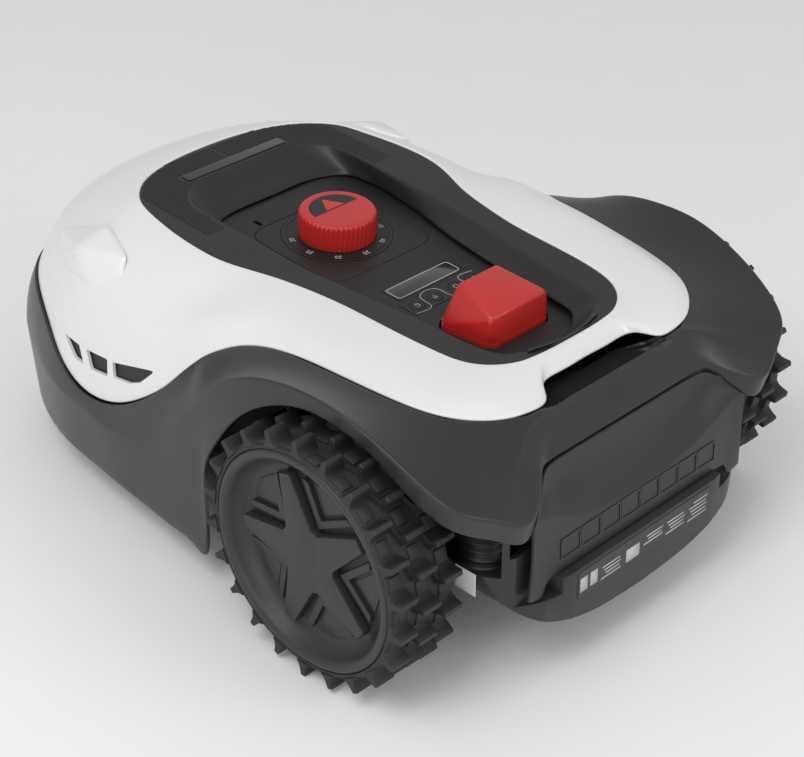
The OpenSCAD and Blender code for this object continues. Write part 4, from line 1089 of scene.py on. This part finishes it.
# ------------------------------------------------------------------ stop button
bm = bmesh.new()
pts = [(39.4, 20.6, 228.5), (-3.2, 30.2, 219.2)]
for q in [(45, 31.7), (39, 38.2), (0, 33.2), (-6, 26.7)]:
    b_ = onp(q[0], q[1], 2.4)
    pts.append((b_[0], b_[1], b_[2]))
vs = [bm.verts.new(tuple(W((x, s * y, z)))) for x, y, z in pts for s in (1, -1)]
res = bmesh.ops.convex_hull(bm, input=vs)
bmesh.ops.dissolve_limit(bm, angle_limit=math.radians(5), verts=bm.verts, edges=bm.edges)
bmesh.ops.recalc_face_normals(bm, faces=bm.faces)
me = bpy.data.meshes.new("stop_top")
bm.to_mesh(me)
bm.free()
top_ = link(me, "stop_top")
bevel(top_, 2.0, 5, 14)
skirt = prism("stop_skirt", round_poly(both([[45, 31.6], [39, 38.1], [0, 33.1], [-6, 26.6]]), 2.0, 4), lambda a, b: onp(a, b, -8), lambda a, b: onp(a, b, 3.2))
sb = join("stop_button", [top_, skirt])
piece(sb, "red", "stop", "signal_red", "stop_button", ang=35)

# ------------------------------------------------------------------ drive wheels
def wheel(side, s):
    body = "wheel_" + side

    def P(r, a, y):
        return (r * math.sin(a), s * y, AZ + r * math.cos(a))
    # tyre band with rounded sidewalls
    prof = [(86.05, 161.5), (86.05, 218.5), (87.0, 219.0), (88.6, 218.7), (89.4, 217.6), (89.4, 162.4), (88.6, 161.3), (87.0, 161.0)]
    V, F = [], []
    n = 176
    for i in range(n):
        a = 2 * math.pi * i / n
        V += [P(r, a, y) for r, y in prof]
    q = len(prof)
    for i in range(n):
        i2 = (i + 1) % n
        for k in range(q):
            k2 = (k + 1) % q
            F.append((i * q + k, i2 * q + k, i2 * q + k2, i * q + k2))
    # blades in three staggered rows, each with a foot that runs on to the next row
    pit = 2 * math.pi / 22
    lug = [(-4.2, 88.9), (-2.7, 91.0), (-1.75, 95.0), (-1.3, 99.6), (-0.95, 100.7), (0.95, 100.7), (1.3, 99.6), (1.75, 95.0), (2.7, 91.0), (4.2, 88.9)]
    for row, (y0, y1, off) in enumerate([(160.2, 177.0, 0), (181.5, 198.5, 0.5), (203.0, 219.8, 0)]):
        for i in range(22):
            a0 = (i + off) * pit
            ys = [y0, y0 + 0.7, y1 - 0.7, y1]
            ins = [0.9, 0.0, 0.0, 0.9]
            b = len(V)
            for yy, e in zip(ys, ins):
                for (da, r) in lug:
                    V.append(P(min(r, 101 - e) if r > 95 else r, a0 + math.radians(da) * (1 - 0.12 * e), yy))
            L_ = len(lug)
            for t in range(3):
                for k in range(L_):
                    k2 = (k + 1) % L_
                    F.append((b + t * L_ + k, b + (t + 1) * L_ + k, b + (t + 1) * L_ + k2, b + t * L_ + k2))
            F.append(tuple(b + k for k in range(L_)))
            F.append(tuple(b + 3 * L_ + k for k in range(L_ - 1, -1, -1)))
    # links and low pads between the rows
    for ya, yb, off in ((176.6, 182.0, 0.0), (198.0, 203.4, 0.5)):
        for i in range(22):
            a0 = (i + off) * pit
            a1 = a0 + 0.5 * pit
            st = [(a0, ya), (a0 + 0.12 * pit, ya + 1.6), (a1 - 0.12 * pit, yb - 1.6), (a1, yb)]
            b = len(V)
            for aa, yy in st:
                V += [P(88.9, aa - 0.02, yy), P(94.2, aa - 0.012, yy), P(94.2, aa + 0.012, yy), P(88.9, aa + 0.02, yy)]
            for t in range(3):
                for k in range(4):
                    k2 = (k + 1) % 4
                    F.append((b + t * 4 + k, b + (t + 1) * 4 + k, b + (t + 1) * 4 + k2, b + t * 4 + k2))
            F.append((b, b + 1, b + 2, b + 3))
            F.append((b + 15, b + 14, b + 13, b + 12))
    for y0, y1, off in ((163.5, 174.0, 0.5), (185.0, 195.0, 0.0), (206.0, 216.5, 0.5)):
        for i in range(22):
            a0 = (i + off) * pit
            b = len(V)
            for r, w, e in ((88.9, 0.062, 0), (90.6, 0.058, 0.4), (91.0, 0.05, 1.0)):
                V += [P(r, a0 - w, y0 + e), P(r, a0 + w, y0 + e), P(r, a0 + w, y1 - e), P(r, a0 - w, y1 - e)]
            for t in range(2):
                for k in range(4):
                    k2 = (k + 1) % 4
                    F.append((b + t * 4 + k, b + t * 4 + k2, b + (t + 1) * 4 + k2, b + (t + 1) * 4 + k))
            F.append((b + 8, b + 9, b + 10, b + 11))
            F.append((b + 3, b + 2, b + 1, b))
    ty = mesh("tyre_" + side, V, F)
    fix_normals(ty)
    piece(ty, "tyre", body, "tyre_rubber", "tyre_" + side, ang=38)
    # rim: rounded outer ring, recessed dish
    prof = [(6.2, 164), (18, 164), (22, 196), (76, 199), (79, 162), (85.8, 162), (85.9, 216.6), (85.4, 218.4), (84.2, 219.5), (82.4, 219.8),
            (80.4, 219.3), (78.4, 217.7), (77.0, 215.4), (75.6, 212.6), (74.0, 210.4), (71.6, 207.6), (69.4, 205.7), (67.6, 205.0), (16.2, 205.0), (15.6, 209.4), (15, 210), (6.2, 210)]
    V, F = [], []
    n = 144
    q = len(prof)
    for i in range(n):
        a = 2 * math.pi * i / n
        V += [P(r, a, y) for r, y in prof]
    for i in range(n):
        i2 = (i + 1) % n
        for k in range(q):
            k2 = (k + 1) % q
            F.append((i * q + k, i2 * q + k, i2 * q + k2, i * q + k2))
    rm = mesh("rim_" + side, V, F)
    fix_normals(rm)
    piece(rm, "rim", body, "rim_grey", "rim_" + side, ang=35)
    # V ribs on the dish between the arms, each round a low raised pad
    def polar(r, a):
        return (r * math.cos(math.radians(a)), r * math.sin(math.radians(a)))
    obs = []
    for i in range(5):
        c = i * 72 + 36
        o1, o2_, i1, i2_, vo, vi = polar(64, c + 24), polar(64, c - 24), polar(62.5, c + 18.5), polar(62.5, c - 18.5), polar(29.5, c), polar(38, c)
        pol = round_poly([vo, o2_, i2_, vi, i1, o1], 1.0, 3)
        rb1 = prism("r", pol, lambda u, v: (u, s * 204.8, AZ + v), lambda u, v: (u, s * 208.6, AZ + v))
        bevel(rb1, 0.9, 3, 50)
        obs.append(rb1)
        pol = round_poly([polar(42, c), polar(63, c - 15.5), polar(66, c), polar(63, c + 15.5)], 1.4, 3)
        pd = prism("r", pol, lambda u, v: (u, s * 204.8, AZ + v), lambda u, v: (u, s * 206.0, AZ + v))
        bevel(pd, 0.5, 2, 50)
        obs.append(pd)
    rb = join("rim_ribs_" + side, obs)
    piece(rb, "rim", body, "rim_grey", ang=30)
    # five tapered arms with chamfered sides and a flat raised middle, one of them towards the nose
    pts = []
    for i in range(5):
        a = i * 72
        for da, r in ((-4.8, 65.8), (4.8, 65.8), (30, 27), (42, 27)):
            pts.append(polar(r, a + da))
    pol = round_poly(pts, 1.6, 4)
    st = prism("hub_star_" + side, pol, lambda u, v: (u, s * 205.2, AZ + v), lambda u, v: (u, s * 213.0, AZ + v))
    bevel(st, 2.3, 2, 60)
    piece(st, "rim", body, "rim_grey", "hub_star_" + side, ang=24)


wheel("left", 1)
wheel("right", -1)

# ------------------------------------------------------------------ bellows
def bellows(name, feet):
    obs = []
    for f in feet:
        pr = [(13, 0.2), (18.6, 0.2), (19, 0.7), (19, 2.8), (18.4, 3.3)]
        for i in range(5):
            for t in np.linspace(0, 1, 7)[:-1]:
                pr.append((17.3 - 1.7 * math.cos(2 * math.pi * t), 5 + (i + t) * 6.9))
        pr += [(15.6, 39.6), (13, 39.6)]
        obs.append(revolve("b", pr, "z", 64, f, True))
    bl = join(name, obs)
    shade(bl, 60)
    give(bl, "rubber")
    x, y, z = feet[0]
    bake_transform(bl)
    return bl


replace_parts(bellows("float_bellows", [(-84, 122, 100), (-84, -122, 100)]), "float_bellows")
bellows("float_bellows_front", [(286, 118, 150.4), (286, -118, 150.4)])


# ------------------------------------------------------------------ stop spring
def coil(name, r, w, z0, z1, turns, cx, per=36, k=10):
    V, F = [], []
    n = turns * per
    for i in range(n + 1):
        a = 2 * math.pi * i / per
        for j in range(k):
            b = 2 * math.pi * j / k
            q = r + w * math.cos(b)
            V.append((cx + q * math.cos(a), q * math.sin(a), z0 + w + (z1 - z0 - 2 * w) * i / n + w * math.sin(b)))
    for i in range(n):
        for j in range(k):
            p0, p1 = i * k + j, i * k + (j + 1) % k
            F.append((p0, p1, p1 + k, p0 + k))
    F.append(tuple(range(k - 1, -1, -1)))
    F.append(tuple(n * k + j for j in range(k)))
    ob = mesh(name, V, F)
    fix_normals(ob)
    return ob


spr = coil("stop_spring", 10, 1, 164.2, 188.4, 5, 20)
piece(spr, "steel", "chassis", "steel", "stop_spring", ang=60)
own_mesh(spr)

# ------------------------------------------------------------------ labels: plain bars and blocks only
lb = box_at("rating_label", (-131.5, -75, 62), (-131.0, 75, 84), 0.1, 1)
piece(lb, "chassis", "chassis", "label_grey", "rating_label")
obs = []
bars = []
for (ya, yb, za, dz, cnt) in [(-73, -50, 64, 3.4, 5), (-46, -24, 66, 3.2, 4), (-20, 2, 70, 3.0, 3), (28, 50, 65, 3.2, 4)]:
    for k in range(cnt):
        bars.append((ya + (k % 2) * 1.5, yb - (k * 5) % 7, za + k * dz, za + k * dz + 1.1))
bars += [(7, 22, 65, 76), (54, 62, 66, 78), (65, 73, 66, 78)]
for (y0, y1, z0, z1) in bars:
    obs.append(box_at("l", (-131.62, y0, z0), (-131.45, y1, z1), 0, 1))
pb = join("label_blocks", obs)
piece(pb, "print", "chassis", "label_grey", sh=False)
sl = box_at("side_label", (-94, 141, 80), (-75, 141.5, 99), 0.1, 1)
piece(sl, "label", "chassis", "label_white", "side_label")

# ------------------------------------------------------------------ carried-over pieces
LOOK = {"charge_contacts": "brass", "float_stems": "inner", "chassis_lid": "inner", "stop_switch": "trim", "knob_spindle": "steel",
        "motor_carrier": "inner", "cutting_motor": "alloy", "blade_disc": "disc", "blade_screws": "steel", "blade_1": "blade", "blade_2": "blade",
        "blade_3": "blade", "skid_disc": "trim", "main_board": "board", "battery_pack": "cell", "door_screws": "steel", "gearmotor_left": "alloy",
        "gearmotor_right": "alloy", "drive_shaft_left": "steel", "drive_shaft_right": "steel", "caster_axle_left": "steel", "caster_axle_right": "steel"}
for nm, mt in LOOK.items():
    if not NODES[nm].material_slots:
        NODES[nm].data.materials.append(M[mt])
    for sl_ in NODES[nm].material_slots:
        sl_.material = M[mt]
for sd in ("left", "right"):
    from_cad("caster_fork_" + sd, "chassis", "caster_" + sd, "caster_black", 0.6)
    from_cad("caster_wheel_" + sd, "rubber", "caster_wheel_" + sd, "caster_black", 0.5, 40)

bpy.context.view_layer.update()
vis_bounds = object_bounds()


def plain(v):
    if hasattr(v, "tolist"):
        return v.tolist()
    if isinstance(v, dict):
        return {k: plain(x) for k, x in v.items()}
    if isinstance(v, (int, float)):
        return float(v)
    try:
        return [plain(x) for x in v]
    except TypeError:
        return str(v)


{"after_load": plain(cad_bounds), "before_finish": plain(vis_bounds)}
